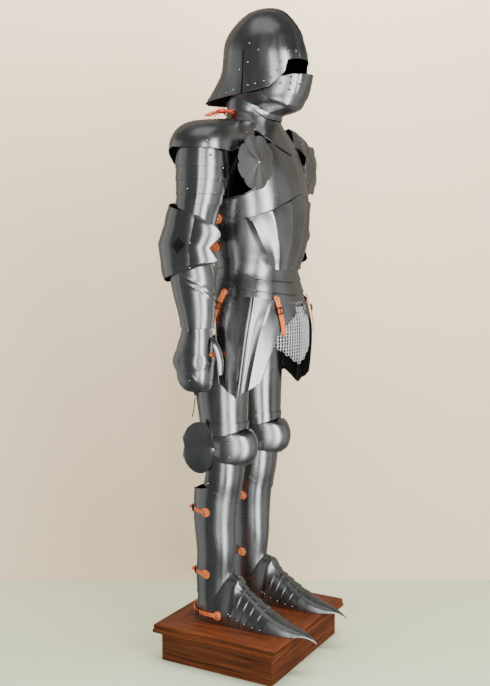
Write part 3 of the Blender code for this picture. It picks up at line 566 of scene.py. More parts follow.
# Bevor.
# The chin plate stands before the face, with a turned top edge, a cross crease and
# breaths drilled through its front. It hooks over the gorget's collar.
CHIN = smooth_rows((
    (1.790, 0, -0.043, 0.0925, 0.1590, 0.060, 2.0),
    (1.752, 0, -0.043, 0.0935, 0.1510, 0.060, 2.0),
    (1.722, 0, -0.043, 0.0941, 0.1375, 0.060, 2.0),
    (1.699, 0, -0.040, 0.0938, 0.1280, 0.060, 2.0),
    (1.689, 0, -0.030, 0.0936, 0.1300, 0.060, 2.0),
    (1.681, 0, -0.012, 0.0936, 0.1240, 0.060, 2.0),
    (1.675, 0, 0.000, 0.0936, 0.1020, 0.060, 2.0),
    (1.668, 0, 0.000, 0.0936, 0.0935, 0.060, 2.0),
    (1.654, 0, 0.000, 0.0936, 0.0945, 0.060, 2.0),
))
BEVOR_TOP = ((0, 1.784), (40, 1.779), (60, 1.770), (92, 1.762))
BEVOR_LIFT = ((0, 0.0), (30, 0.002), (60, 0.030), (92, 0.062))
BEVOR_CREASE = ((0, 1.713), (27, 1.727), (60, 1.7285), (92, 1.7295))
BEVOR_FOOT = 1.656
grid = []
columns = evenly(-92, 92, 2)
for t in list(np.linspace(0, 0.46, 14)) + list(np.linspace(0.5, 1, 22)):
    line = []
    for d in columns:
        high, lift, crease = (along(table, from_front(d)) for table in (BEVOR_TOP, BEVOR_LIFT, BEVOR_CREASE))
        low = BEVOR_FOOT + lift
        z = high + (crease - high) * t / 0.5 if t < 0.5 else crease + (low - crease) * (t - 0.5) / 0.5
        form_z = high - (high - z) / (1 - lift / (high - BEVOR_FOOT))
        fold = 0.0030 * max(0.0, 1 - (z - crease) / 0.030 if z > crease else 1 - (crease - z) / 0.014)
        turned = 0.0012 * max(0.0, 1 - (high - z) / 0.003)
        groove = 0.0012 * ridge(from_front(d) - 27, 3, 1) * (z > crease)
        point = on_form(CHIN, form_z, d, fold + turned - groove)
        point.z = z
        line.append(point)
    grid.append(line)
bevor = plate("bevor", grid, sharp=18)
BREATHS = ((-0.059, -0.164, 1.772), (-0.074, -0.136, 1.754), (-0.059, -0.162, 1.754),
           (-0.040, -0.183, 1.753), (-0.059, -0.158, 1.736))
drills = bpy.data.meshes.new("breath_drills")
work = bmesh.new()
for x, y, z in BREATHS:
    for hand in (1, -1):
        spot = Vector((hand * x, y, z))
        turn = Vector((spot.x, spot.y + 0.043, 0)).to_track_quat("Z", "Y").to_matrix().to_4x4()
        bmesh.ops.create_cone(work, cap_ends=True, segments=14, radius1=0.0026, radius2=0.0026, depth=0.024,
                              matrix=Matrix.Translation(spot) @ turn)
work.to_mesh(drills)
work.free()
drill = bpy.data.objects.new("breath_drills", drills)
holes = bevor.modifiers.new("breaths", "BOOLEAN")
holes.operation = "DIFFERENCE"
holes.object = drill
graph = bpy.context.evaluated_depsgraph_get()
drilled = bpy.data.meshes.new_from_object(bevor.evaluated_get(graph))
bevor.modifiers.clear()
bevor.data = drilled
bpy.data.objects.remove(drill)

# Gorget.
# A standing collar that flares into a pointed bib over the breastplate, with turned
# edges and a sharp medial ridge.
TORSO = smooth_rows((
    (1.740, 0, 0, 0.0905, 0.0840, 0.071, 2.0),
    (1.700, 0, 0, 0.0915, 0.0845, 0.071, 2.0),
    (1.672, 0, 0, 0.0920, 0.0855, 0.072, 2.0),
    (1.640, 0, 0, 0.1080, 0.0910, 0.080, 2.1),
    (1.600, 0, 0, 0.1500, 0.110, 0.100, 2.2),
    (1.550, 0, 0, 0.1800, 0.133, 0.122, 2.2),
    (1.500, 0, 0, 0.1860, 0.151, 0.130, 2.2),
    (1.440, 0, 0, 0.1840, 0.166, 0.130, 2.2),
    (1.385, 0, 0, 0.1780, 0.170, 0.125, 2.2),
    (1.300, 0, 0, 0.1640, 0.163, 0.110, 2.2),
    (1.250, 0, 0, 0.1530, 0.149, 0.100, 2.2),
    (1.210, 0, 0, 0.1500, 0.138, 0.102, 2.2),
    (1.160, 0, 0, 0.1680, 0.152, 0.128, 2.2),
    (1.100, 0, 0, 0.1880, 0.169, 0.152, 2.2),
    (1.040, 0, 0, 0.1980, 0.178, 0.162, 2.2),
    (0.940, 0, 0, 0.2060, 0.180, 0.170, 2.2),
    (0.830, 0, 0, 0.2100, 0.178, 0.174, 2.2),
))
GORGET_TOP = ((0, 1.684), (40, 1.694), (70, 1.722), (95, 1.732), (120, 1.712), (180, 1.700))
GORGET_FOOT = ((0, 1.552), (20, 1.580), (33, 1.598), (58, 1.634), (85, 1.656), (120, 1.650), (180, 1.600))
GORGET_OUT = ((0, 0.0), (0.25, 0.0), (0.5, 0.0008), (0.75, 0.0036), (1.0, 0.0028))
around = evenly(-176, 180, 4)
grid = shell(TORSO, around, GORGET_TOP, GORGET_FOOT, levels(16, 0.0008, 0.0009),
             lambda d, z, share: along(GORGET_OUT, share) + ridge(from_front(d), 10, 0.0032))
plate("gorget", grid, closed=True)

# Cuirass.
# The breastplate has wide armholes with rolled edges. The fluted plackart laps over its
# lower half, and the backplate meets it under the arms.
LAP = 0.0034
BREAST_TOP = ((0, 1.600), (20, 1.592), (33, 1.578), (37, 1.562), (40, 1.522), (45, 1.482),
              (56, 1.451), (69, 1.431), (90, 1.417))
PLACKART_TOP = ((0, 1.438), (19, 1.413), (42, 1.384), (64, 1.364), (90, 1.364))
PLACKART_FOOT = ((0, 1.208), (25, 1.211), (63, 1.229), (90, 1.248))
BACK_TOP = ((90, 1.417), (104, 1.428), (118, 1.450), (130, 1.490), (137, 1.545), (143, 1.580),
            (155, 1.598), (180, 1.604))
BACK_FOOT = ((90, 1.248), (180, 1.232))
half = [0, 1, 2, 4, 6, 8] + evenly(10, 33, 2.3) + [34.5, 36, 37, 38, 39, 40, 42, 44] + evenly(46, 87.4, 2.6)
columns = [-d for d in reversed(half[1:])] + half
edge = edge_roll(BREAST_TOP, 0.0022, 0.0030)
fine = [(t, 0.0, 0.0) for t in (0, 0.006, 0.012, 0.018, 0.024, 0.032)] + levels(30)[1:]
grid = shell(TORSO, columns, BREAST_TOP, 1.335, fine,
             lambda d, z, share: ridge(from_front(d), 10, 0.0032) + edge(d, z, share))
plate("breastplate", grid)
PLACKART_FLUTES = (
    # top degrees, foot degrees, rise, bend
    (0, 0, 0.0030, 1.0), (10, 6, 0, 0.7), (19, 13, 0.0036, 0.45), (31, 19, 0, 0.55), (42, 25, 0.0042, 0.60),
    (53, 30, 0, 0.65), (64, 36, 0.0042, 0.72), (68, 45, 0, 0.9), (73, 53, 0, 1.0), (78, 65, 0, 1.0),
    (83, 76, 0, 1.0), (87.4, 87.4, 0, 1.0),
)
columns = mirrored(flutes(PLACKART_FLUTES, 5))
grid = shell(TORSO, columns, PLACKART_TOP, PLACKART_FOOT, levels(24, 0.0010), lambda d, z, share: LAP)
plate("plackart", grid)
columns = evenly(87.6, 272.4, 3)
edge = edge_roll(BACK_TOP, 0.0020, 0.0024)
grid = shell(TORSO, columns, BACK_TOP, BACK_FOOT, fine,
             lambda d, z, share: edge(d, z, share) - ridge(from_front(d) - 180, 14, 0.004))
plate("backplate", grid)

# Waist lames.
# Three narrow hoops slide under each other below the waist in front, and one stepped
# plate stands for them behind.
FAULD_STEP = 0.0030
LAME_STEP = 0.0026
FAULD_EDGES = (
    ((0, 1.228), (25, 1.231), (63, 1.249), (90, 1.266)),
    ((0, 1.172), (54, 1.186), (90, 1.220)),
    ((0, 1.134), (54, 1.151), (90, 1.166)),
    ((0, 1.098), (30, 1.112), (50, 1.125), (90, 1.128)),
)
columns = evenly(-87.4, 87.4, 2.5)
for number, (high, low) in enumerate(zip(FAULD_EDGES, FAULD_EDGES[1:]), 1):
    high = [(d, z + (0.0 if number == 1 else 0.012)) for d, z in high]
    grid = shell(TORSO, columns, high, low, levels(8, 0.0, 0.0008),
                 lambda d, z, share: -FAULD_STEP * (number - 1))
    plate(f"fauld_{number}", grid)
CULET_TOP = ((90, 1.266), (180, 1.250))
CULET_FOOT = ((90, 1.128), (140, 1.090), (180, 1.070))
CULET_OUT = ((0, 1), (0.36, 1), (0.38, 2), (0.62, 2), (0.64, 3), (1, 3))
rows = sorted(levels(12, 0.0, 0.0008) + [(share, 0, 0) for share in (0.36, 0.38, 0.62, 0.64)],
              key=lambda row: (row[0], row[1]))
grid = shell(TORSO, evenly(87.6, 272.4, 3), CULET_TOP, CULET_FOOT, rows,
             lambda d, z, share: -LAME_STEP * along(CULET_OUT, share))
plate("culet", grid)

# Tassets.
# Large fluted plates hang from the lowest waist lame over each thigh. Each is drawn out
# to a point at its outer lower corner, and its edges are turned.
SIDES = (("right", 1), ("left", -1))
TASSET_TOP = [(d, z + 0.008) for d, z in FAULD_EDGES[3]]
TASSET_FOOT = ((7, 1.085), (20, 1.056), (33, 1.019), (43, 0.944), (50, 0.882), (60, 0.864),
               (67, 0.853), (72, 0.838), (79, 0.853), (90, 0.885))
TASSET_OUT = ((0, -0.0031), (0.17, -0.0015), (0.4, 0.0), (1.0, 0.0))
TASSET_FLUTES = (
    # top degrees, foot degrees, rise, bend
    (98, 89, 0, 1.0), (90, 80, 0.0028, 1.0), (76, 75.2, 0, 1.0), (69, 74, 0, 1.0), (61, 72, 0.0046, 1.1),
    (59, 70.5, 0.0014, 1.1), (57, 69, 0.0046, 1.1), (47, 66, 0, 0.8), (34, 61, 0.0042, 0.6),
    (24, 50, 0, 0.7), (16, 33, 0, 1.0), (7, 7, 0, 1.0),
)


def rolled(columns, turn, rise):
    """Turn over the two sides of a fluted plate, as its top and foot are turned."""
    first, last = columns[0], columns[-1]
    way = copysign(turn, columns[1][0] - first[0])
    lead = [(first[0] + way * step, first[1] + way * step, rise * up, first[3]) for step, up in BEAD]
    tail = [(last[0] - way * step, last[1] - way * step, rise * up, last[3]) for step, up in reversed(BEAD)]
    return lead + columns[1:-1] + tail


def pair(piece, grid, **make):
    """One plate for the wearer's right and its mirror for the left."""
    for name, side in SIDES:
        plate(f"{piece}_{name}", grid, side=side, **make)


columns = [(-start, -end, rise, bend) for start, end, rise, bend in flutes(TASSET_FLUTES, 4)]
pair("tasset", shell(TORSO, rolled(columns, 0.33, 0.0013), TASSET_TOP, TASSET_FOOT, levels(26, 0.0, 0.0012),
                     lambda d, z, share: along(TASSET_OUT, share)))

# Mail skirt.
# A curtain of round steel rings hangs between the tassets. Every ring passes through four
# others, and each row leans the other way from the rows beside it.
mail_steel = steel_look("mail_steel", 0.86, 1.0, 0.36, 0.50, 0.02)


def ring_shape(name, radius, wire, turns=10, sides=5):
    """A plain ring in the XY plane."""
    mesh = bpy.data.meshes.new(name)
    corners, faces = [], []
    for k in range(turns):
        for j in range(sides):
            a, b = 2 * pi * k / turns, 2 * pi * j / sides
            reach = radius + wire * cos(b)
            corners.append((reach * cos(a), reach * sin(a), wire * sin(b)))
            right, up = (k + 1) % turns, (j + 1) % sides
            faces.append((k * sides + j, right * sides + j, right * sides + up, k * sides + up))
    mesh.from_pydata(corners, [], faces)
    mesh.shade_smooth()
    return bpy.data.objects.new(name, mesh)


MAIL_ACROSS, MAIL_DOWN, MAIL_REACH, MAIL_SIDE = 0.0108, 0.0050, 0.172, 41
MAIL_TOP, MAIL_FOOT = 1.112, 0.925
mail_turn = MAIL_ACROSS / MAIL_REACH * 57.3
places = []
z, row = MAIL_TOP, 0
while z > MAIL_FOOT:
    for k in range(-12, 13):
        degrees = (k + 0.5 * (row % 2)) * mail_turn
        if abs(degrees) > MAIL_SIDE or z < 0.928 + 0.0018 * abs(degrees):
            continue
        share = (1.122 - z) / 0.19
        point, normal, down = facing(TORSO, z, degrees, -0.0092 - 0.006 * share)
        across = normal.cross(down)
        lean = 0.62 if row % 2 else -0.62
        axis = (normal * cos(lean) + across * sin(lean)).normalized()
        places.append((point, axis, down))
    z, row = z - MAIL_DOWN, row + 1
mail_ring = ring_shape("mail_ring", 0.0055, 0.00085)
mail = set_copies("mail_skirt", mail_ring, places, 1.0, mail_steel)
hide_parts("mail_skirt")

# Leather straps.
# Orange harness leather. Each strap starts in a round end held by a domed rivet, narrows
# to a neck, and runs through a blackened steel buckle to a pointed tip.
STRAP_THICK = 0.0024


def stained(tree, source, out, dark, light, first=0.3, last=0.7):
    """Colour the surface from a dark to a light tone by a noise."""
    tone = tree.nodes.new("ShaderNodeValToRGB")
    for number, (place, colour) in enumerate(((first, dark), (last, light))):
        tone.color_ramp.elements[number].position = place
        tone.color_ramp.elements[number].color = (*colour, 1)
    link(tree, source, out, tone, "Fac")
    link(tree, tone, "Color", tree.nodes["Principled BSDF"], "Base Color")


leather = flat_colour("orange_leather", (0.72, 0.17, 0.045), 0.52)
tree = leather.node_tree
stained(tree, noise(tree, 55, 4), "Fac", (0.52, 0.095, 0.022), (0.82, 0.215, 0.060))
raised(tree, noise(tree, 900, 2), "Fac", 0.35, 0.0003)
black_steel = steel_look("blackened_steel", 0.035, 0.06, 0.34, 0.46, 0.02)
SECTION = ((-1, 0.3), (-0.93, 0), (0.93, 0), (1, 0.3), (1, 0.72), (0.93, 1), (-0.93, 1), (-1, 0.72))
strap_rivets, strap_buckles = [], []


def strap(name, path, width, end=0.0, tip=True, nodes=(), body=SUIT, buckle_at=None, rivet=True):
    """A leather band along a path of points and the way each faces, from round end to tip."""
    points = np.array([p for p, _ in path])
    faces_out = np.array([n for _, n in path])
    gaps = np.linalg.norm(np.diff(points, axis=0), axis=1)
    run = np.concatenate([[0], np.cumsum(gaps)])
    total = run[-1]
    stops = np.linspace(0, total, max(12, round(total / 0.0016)))

    def read(values, s):
        return Vector([float(np.interp(s, run, values[:, k])) for k in range(3)])

    mesh = bpy.data.meshes.new(name)
    work = bmesh.new()
    rings = []
    for s in stops:
        middle, out = read(points, s), read(faces_out, s).normalized()
        ahead = (read(points, min(s + 0.002, total)) - read(points, max(s - 0.002, 0))).normalized()
        across = out.cross(ahead).normalized()
        half = width / 2
        if end and s < 2 * end:
            half = max(half if s > end else 0.0015, sqrt(max(end ** 2 - (s - end) ** 2, 0)))
        if tip and total - s < width * 0.9:
            half *= max(0.12, (total - s) / (width * 0.9)) ** 0.7
        rings.append([work.verts.new(middle + across * half * u + out * STRAP_THICK * v) for u, v in SECTION])
    for upper, lower in zip(rings, rings[1:]):
        for k in range(len(SECTION)):
            j = (k + 1) % len(SECTION)
            work.faces.new((upper[k], upper[j], lower[j], lower[k]))
    work.faces.new(rings[0][::-1])
    work.faces.new(rings[-1])
    bmesh.ops.recalc_face_normals(work, faces=work.faces)
    work.to_mesh(mesh)
    work.free()
    mesh.shade_smooth()
    mesh.set_sharp_from_angle(angle=radians(40))
    mesh.materials.append(leather)
    made = bpy.data.objects.new(name, mesh)
    bpy.context.scene.collection.objects.link(made)
    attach(made, body)
    if nodes:
        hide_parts(*nodes)

    def place_at(s):
        ahead = (read(points, min(s + 0.002, total)) - read(points, max(s - 0.002, 0))).normalized()
        out = read(faces_out, s).normalized()
        return read(points, s) + out * STRAP_THICK, out, ahead
    if rivet:
        strap_rivets.append(place_at(end or width / 2))
    if buckle_at:
        strap_buckles.append(place_at(total * buckle_at))
    return made


def round_form(form, z, first, last, out, side=1, tail=None):
    """A path round a form at one height, or sloping, from its first to its last degrees."""
    path = []
    count = max(3, round(abs(last - first) / 3))
    high, low = z if isinstance(z, tuple) else (z, z)
    for i in range(count + 1):
        t = i / count
        lift = tail * max(0.0, (t - 0.72) / 0.28) ** 1.6 if tail else 0.0
        height = high + (low - high) * t - lift * 0.5
        path.append(facing(form, height, first + (last - first) * t, out + lift, side)[:2])
    return path


TASSET_STRAPS = (
    # place, degrees at its top and foot, then rows of height and how far out
    ("outer", -88.5, -97, ((1.156, -0.0002), (1.128, 0.0036), (1.087, 0.0062), (1.046, 0.0070))),
    ("inner", -32, -27, ((1.136, -0.0002), (1.124, 0.0036), (1.100, 0.0054), (1.058, 0.0062),
                         (1.016, 0.0062))),
)
for name, side in SIDES:
    for place, start, end, rows in TASSET_STRAPS:
        path = []
        for z in np.linspace(rows[0][0], rows[-1][0], 16):
            out = float(np.interp(-z, [-row[0] for row in rows], [row[1] for row in rows]))
            middle = start + (end - start) * (rows[0][0] - z) / (rows[0][0] - rows[-1][0])
            path.append(facing(TORSO, float(z), middle, out - STRAP_THICK, side)[:2])
        strap(f"tasset_strap_{place}_{name}", path, 0.0165, 0.0105, nodes=[f"tasset_strap_{place}_{name}"],
              buckle_at=0.45 if place == "outer" else 0.38)
    for number, z, start in ((1, 1.363, -90), (2, 1.281, -98)):
        strap(f"side_strap_{number}_{name}", round_form(TORSO, (z, z - 0.004), start, -136, 0.0040, side),
              0.013, 0.0145, buckle_at=0.8)

# Besagews.
# A scalloped round plate hangs before each armpit from a strap. Its petals are creased
# from the middle, where a small boss sits.
BESAGEW_RADIUS, BESAGEW_PETALS = 0.078, 8
turn = radians(12)
across, face, up = Vector((cos(turn), -sin(turn), 0)), Vector((-sin(turn), -cos(turn), 0)), Vector((0, 0, 1))
centre = Vector((-0.182, -0.1160, 1.520))
grid = []
for share in (0.0, 0.05, 0.1, 0.13, 0.16, 0.22, 0.3, 0.4, 0.5, 0.6, 0.7, 0.8, 0.88, 0.94, 0.97, 0.985, 1.0):
    line = []
    for i in range(BESAGEW_PETALS * 12):
        angle = 2 * pi * i / (BESAGEW_PETALS * 12)
        part = (BESAGEW_PETALS * angle / (2 * pi)) % 1
        petal = sin(pi * part)
        reach = BESAGEW_RADIUS * share * (1 - 0.12 * share ** 6 * (1 - petal ** 0.5))
        dish = 0.013 * (1 - share) ** 1.2 - 0.0068 * abs(2 * part - 1) * share * (1.15 - share)
        dish += 0.0018 * max(0.0, 1 - share / 0.06)
        line.append(centre + reach * (across * cos(angle) + up * sin(angle)) + face * dish)
    grid.append(line)
pair("besagew", grid, closed=True, sharp=12)

# Pauldrons.
# A broad shoulder plate of two leaves covers the top of each arm, cut deep behind and
# over the armpit in front. Its lower edge is rolled.
PAULDRON_EDGE = (
    (-142, 1.590), (-124, 1.582), (-110, 1.574), (-96, 1.558), (-82, 1.545), (-60, 1.549), (-30, 1.552),
    (0, 1.555), (30, 1.559), (55, 1.551), (75, 1.533), (92, 1.508), (106, 1.524), (120, 1.550))
LEAF_STEP, SHOULDER_RUN = 0.24, 0.24
shoulder_heart = Vector((-0.235, 0.014, 1.545))


def shoulder_point(turn, share, out):
    """A point of the pauldron: degrees round the arm's top, and the share from neck to edge."""
    angle = radians(turn)
    swing = share * pi / 2
    fold = max(0.0, -turn - 96) / 46
    neck = Vector((-0.128 + 0.022 * fold, 0.008 + 0.056 * turn / 122 - 0.004 * fold, 1.642))
    reach = 0.0975 if turn < 0 else 0.102
    round_x = eased(cos(angle), 0.9)
    round_y = eased(sin(angle), 0.9)
    edge = Vector((-0.238 - 0.1088 * round_x, 0.017 + reach * round_y, along(PAULDRON_EDGE, turn)))
    edge += Vector((0.028, -0.034, 0)) * fold
    point = neck.lerp(edge, sin(swing) ** (2 / 2.15))
    point.z = edge.z + (neck.z - edge.z) * cos(swing) ** (2 / 2.15) + 0.013 * sin(pi * share)
    return point + (point - shoulder_heart).normalized() * out


turns = evenly(-140, 120, 4)
grid = []
for share, step, out in levels(22, 0.0, 0.0013):
    drop = 0.0 if share < LEAF_STEP else 0.0011
    grid.append([shoulder_point(t, share + step / SHOULDER_RUN, out - drop) for t in turns][::-1])
pair("pauldron", grid)
spots = []
for name, side in SIDES:
    for turn, share in ((22, 0.78), (-34, 0.90), (-112, 0.80), (62, 0.88)):
        flip = Vector((side, 1, 1))
        here = shoulder_point(turn, share, 0.0)
        onward = shoulder_point(turn, share + 0.03, 0.0) - here
        round_it = shoulder_point(turn + 3, share, 0.0) - here
        facing_out = round_it.cross(onward).normalized()
        facing_out *= copysign(1.0, facing_out.dot(here - shoulder_heart))
        spots.append((here * flip, facing_out * flip, onward.normalized() * flip))
set_copies("pauldron_rivets", RIVET, spots, 0.0030, rivet_steel)

# Arm plates.
# Four narrow lames slide under the pauldron. A closed rerebrace, a winged elbow piece
# with a diamond boss, and a fluted vambrace with a pointed cuff tab follow.
ARM_X = -0.270
ARM = smooth_rows((
    (1.570, ARM_X, 0.008, 0.0730, 0.0730, 0.0730, 2.0),
    (1.530, ARM_X, 0.010, 0.0750, 0.0750, 0.0750, 2.0),
    (1.470, ARM_X, 0.012, 0.0740, 0.0740, 0.0740, 2.0),
    (1.425, ARM_X, 0.018, 0.0680, 0.0680, 0.0680, 2.0),
    (1.380, ARM_X, 0.028, 0.0640, 0.0640, 0.0640, 2.0),
    (1.340, ARM_X, 0.036, 0.0615, 0.0615, 0.0615, 2.0),
    (1.300, ARM_X, 0.045, 0.0600, 0.0600, 0.0600, 2.0),
    (1.270, ARM_X, 0.048, 0.0605, 0.0605, 0.0605, 2.0),
    (1.230, ARM_X, 0.049, 0.0618, 0.0660, 0.0618, 2.0),
    (1.190, ARM_X, 0.049, 0.0615, 0.0720, 0.0615, 2.0),
    (1.140, ARM_X, 0.044, 0.0560, 0.0680, 0.0560, 2.0),
    (1.090, ARM_X, 0.036, 0.0500, 0.0590, 0.0500, 2.0),
    (1.054, ARM_X, 0.031, 0.0478, 0.0510, 0.0478, 2.0),
    (1.030, ARM_X, 0.031, 0.0478, 0.0510, 0.0478, 2.0),
))
ARM_LAMES = (1.562, 1.503, 1.467, 1.426, 1.398)
ring = evenly(-190, 165, 5)


def lapped(heights, steps):
    """Rows down a run of lames: height and how far out, each lame lapping the next."""
    rows = []
    for number, (high, low) in enumerate(zip(heights, heights[1:])):
        start = (high - 0.0006, -LAME_STEP / 2) if number else (high, -LAME_STEP)
        for k in range(steps):
            t = k / steps
            rows.append((start[0] + (low - start[0]) * t, start[1] + (LAME_STEP / 2 - start[1]) * t))
        rows += [(low + 0.0014, LAME_STEP / 2 + 0.0004), (low, LAME_STEP / 2)]
    return rows


grid = [[on_form(ARM, z, d, out + ridge(d + 66, 7, 0.0018)) for d in ring] for z, out in lapped(ARM_LAMES, 4)]
pair("arm_lames", grid, closed=True)
grid = [[on_form(ARM, z, d, -LAME_STEP + ridge(d + 66, 7, 0.0014)) for d in ring]
        for z in np.linspace(1.414, 1.335, 14)]
pair("rerebrace", grid, closed=True)
COUTER_LEVELS = (
    # front height, back height, first degrees, then how far out at the front, side and back
    (1.366, 1.406, -50, -0.0004, -0.0006, 0.0270),
    (1.309, 1.352, -10, 0.0450, 0.0110, 0.0340),
    (1.277, 1.293, -25, 0.0300, 0.0150, 0.0475),
    (1.243, 1.236, -12, 0.0380, 0.0110, 0.0340),
    (1.222, 1.178, -42, 0.0018, 0.0018, 0.0250),
)
turn_keys = (0, 14, 20, 40, 50)
grid = []
for number, (upper, lower) in enumerate(zip(COUTER_LEVELS, COUTER_LEVELS[1:])):
    for k in range(12 if number < 3 else 13):
        t = k / 12
        ease = sin(t * pi / 2) if number == 0 else 1 - cos(t * pi / 2) if number == 3 else t
        front_z, back_z = (upper[i] + (lower[i] - upper[i]) * t for i in (0, 1))
        first, front_out, side_out, back_out = (upper[i] + (lower[i] - upper[i]) * ease for i in (2, 3, 4, 5))
        line = []
        for column in range(51):
            turn = float(np.interp(column, turn_keys, (first, -62, -90, -180, -216)))
            out = float(np.interp(column, turn_keys, (front_out, side_out, side_out, back_out, 0.016)))
            z = front_z + (back_z - front_z) * min((first - turn) / (first + 180), 1)
            line.append(on_form(ARM, z, turn, out))
        grid.append(line[::-1])
pair("couter", grid, sharp=16)
BOSS_HEIGHT, BOSS_CORNERS = 1.284, ((0.023, 0), (0, -24), (-0.023, 0), (0, 24))
boss = [[on_form(ARM, BOSS_HEIGHT + up, -90 + aside, 0.0115) for up, aside in BOSS_CORNERS],
        [on_form(ARM, BOSS_HEIGHT, -90, 0.0300)] * 4]
pair("couter_boss", boss, closed=True, sharp=5, added=True)
rivets("couter_rivets", ARM, ((1.291, -62), (1.222, -62)), 0.0028, 0.0135)
VAMBRACE_TOP, CUFF_INSIDE, TAB_FOOT, TAB_RISE, TAB_HALF = 1.272, 1.0515, 1.0335, 0.0145, 10
FLUTE_SLOPE = ((-90, 1.201), (-33, 1.167), (20, 1.132))
ring = [-190, -184] + evenly(-178, -102, 4) + evenly(-99, -81, 1.5) + evenly(-77, 165, 4.2)
grid = []
for share, step, out in levels(64, 0.0, 0.0008):
    line = []
    for d in ring:
        end = TAB_FOOT + TAB_RISE * min(1.0, abs(d + 90) / TAB_HALF)
        if from_front(d - 180) < 52:
            end = CUFF_INSIDE
        z = VAMBRACE_TOP + (end - VAMBRACE_TOP) * share - step
        below = z - along(FLUTE_SLOPE, d)
        flute = (ridge(below, 0.006, 0.0030) + ridge(below + 0.016, 0.006, 0.0028)) * (-92 < d < 60)
        line.append(on_form(ARM, z, d, out + flute + ridge(d + 90, 7, 0.0016)))
    grid.append(line)
pair("vambrace", grid, closed=True)
ARM_RIVETS = ((1.499, -8), (1.464, -16), (1.441, -90), (1.430, -23), (1.532, -40))
rivets("arm_rivets", ARM, ARM_RIVETS, 0.0030, 0.0012)

# Gauntlets.
# A hand plate, a ridged knuckle plate, a finger plate and a thumb scale, riveted to a
# glove that isn't there. The palm is open but for one strap.
HAND = smooth_rows((
    (1.056, ARM_X, 0.031, 0.0436, 0.0436, 0.0436, 2.0),
    (1.042, ARM_X, 0.031, 0.0446, 0.0446, 0.0446, 2.0),
    (1.025, ARM_X, 0.032, 0.0460, 0.0470, 0.0470, 2.1),
    (0.990, ARM_X - 0.002, 0.036, 0.0500, 0.0530, 0.0530, 2.2),
    (0.955, ARM_X - 0.004, 0.038, 0.0510, 0.0570, 0.0560, 2.3),
    (0.925, ARM_X - 0.004, 0.036, 0.0500, 0.0560, 0.0540, 2.3),
    (0.895, ARM_X - 0.003, 0.034, 0.0450, 0.0500, 0.0500, 2.3),
    (0.872, ARM_X - 0.001, 0.032, 0.0370, 0.0400, 0.0400, 2.2),
    (0.862, ARM_X, 0.031, 0.0250, 0.0280, 0.0280, 2.2),
))
KNUCKLES = ((0, 0.55, 1), (0.978, 0.957, 0.942), (0.0, 0.006, 0.016), (0.0023, 0.0048, 0.0021))
THUMB = ((1.022, -0.0202, 0.0110, 0.0040), (0.996, -0.0400, 0.0150, 0.0090),
         (0.955, -0.0530, 0.0150, 0.0100), (0.915, -0.0510, 0.0090, 0.0060))
HAND_RIVETS = ((1.044, -90, 0.0030), (0.966, -24, 0.0030), (0.948, -14, 0.0030), (0.907, -112, 0.0),
               (0.900, -84, 0.0))
PALM_STRAP = (
    # a point, then the way the strap faces there
    (-0.284, -0.0185, 0.970, -0.2, -1), (-0.268, -0.0205, 0.971, 0.0, -1), (-0.250, -0.0170, 0.970, 0.5, -1),
    (-0.236, -0.004, 0.969, 1, -0.6), (-0.228, 0.015, 0.968, 1, 0), (-0.228, 0.040, 0.967, 1, 0.2),
    (-0.236, 0.062, 0.966, 1, 0.7), (-0.248, 0.076, 0.966, 0.6, 1))
wrap = evenly(-205, 22, 4)
hand = [[on_form(HAND, z, d) for d in wrap] for z in np.linspace(1.054, 0.964, 16)]
knuckles = []
for t in np.linspace(0, 1, 15):
    z, sag, out = (float(np.interp(t, KNUCKLES[0], values)) for values in KNUCKLES[1:])
    line = []
    for d in wrap:
        bulge = 0.0026 * abs(sin(radians(d + 202) * 3.5)) ** 0.8 * sin(pi * t) * (-170 < d < -20)
        line.append(on_form(HAND, z - sag * (1 - ((d + 90) / 115) ** 2), d, out + bulge))
    knuckles.append(line)
fingers = []
for z in np.linspace(0.950, 0.864, 20):
    line = []
    for d in wrap:
        apart = abs(z - 0.928 + 0.00002 * (d + 100) ** 2)
        line.append(on_form(HAND, z, d, 0.0022 * max(0.0, 1 - apart / 0.005) * (-150 < d < -60)))
    fingers.append(line)
thumb = [[Vector((-0.264 + half * t, y + bulge * t * t, z)) for t in np.linspace(-1, 1, 13)]
         for z, y, half, bulge in smooth_rows(THUMB, 6)]
for name, side in SIDES:
    body = f"hand_{name}"
    plate(f"hand_plate_{name}", hand, body, side)
    plate(f"knuckle_plate_{name}", knuckles, body, side)
    plate(f"finger_plates_{name}", fingers, body, side)
    plate(f"thumb_plate_{name}", thumb, body, side)
    places = [facing(HAND, z, d, out, side) for z, d, out in HAND_RIVETS]
    set_copies(f"hand_rivets_{name}", RIVET, places, 0.0026, rivet_steel, body)
    palm = [(Vector((side * x, y, z)), Vector((side * out_x, out_y, 0)).normalized())
            for x, y, z, out_x, out_y in PALM_STRAP]
    strap(f"palm_strap_{name}", palm, 0.013, tip=False, body=body, rivet=False)

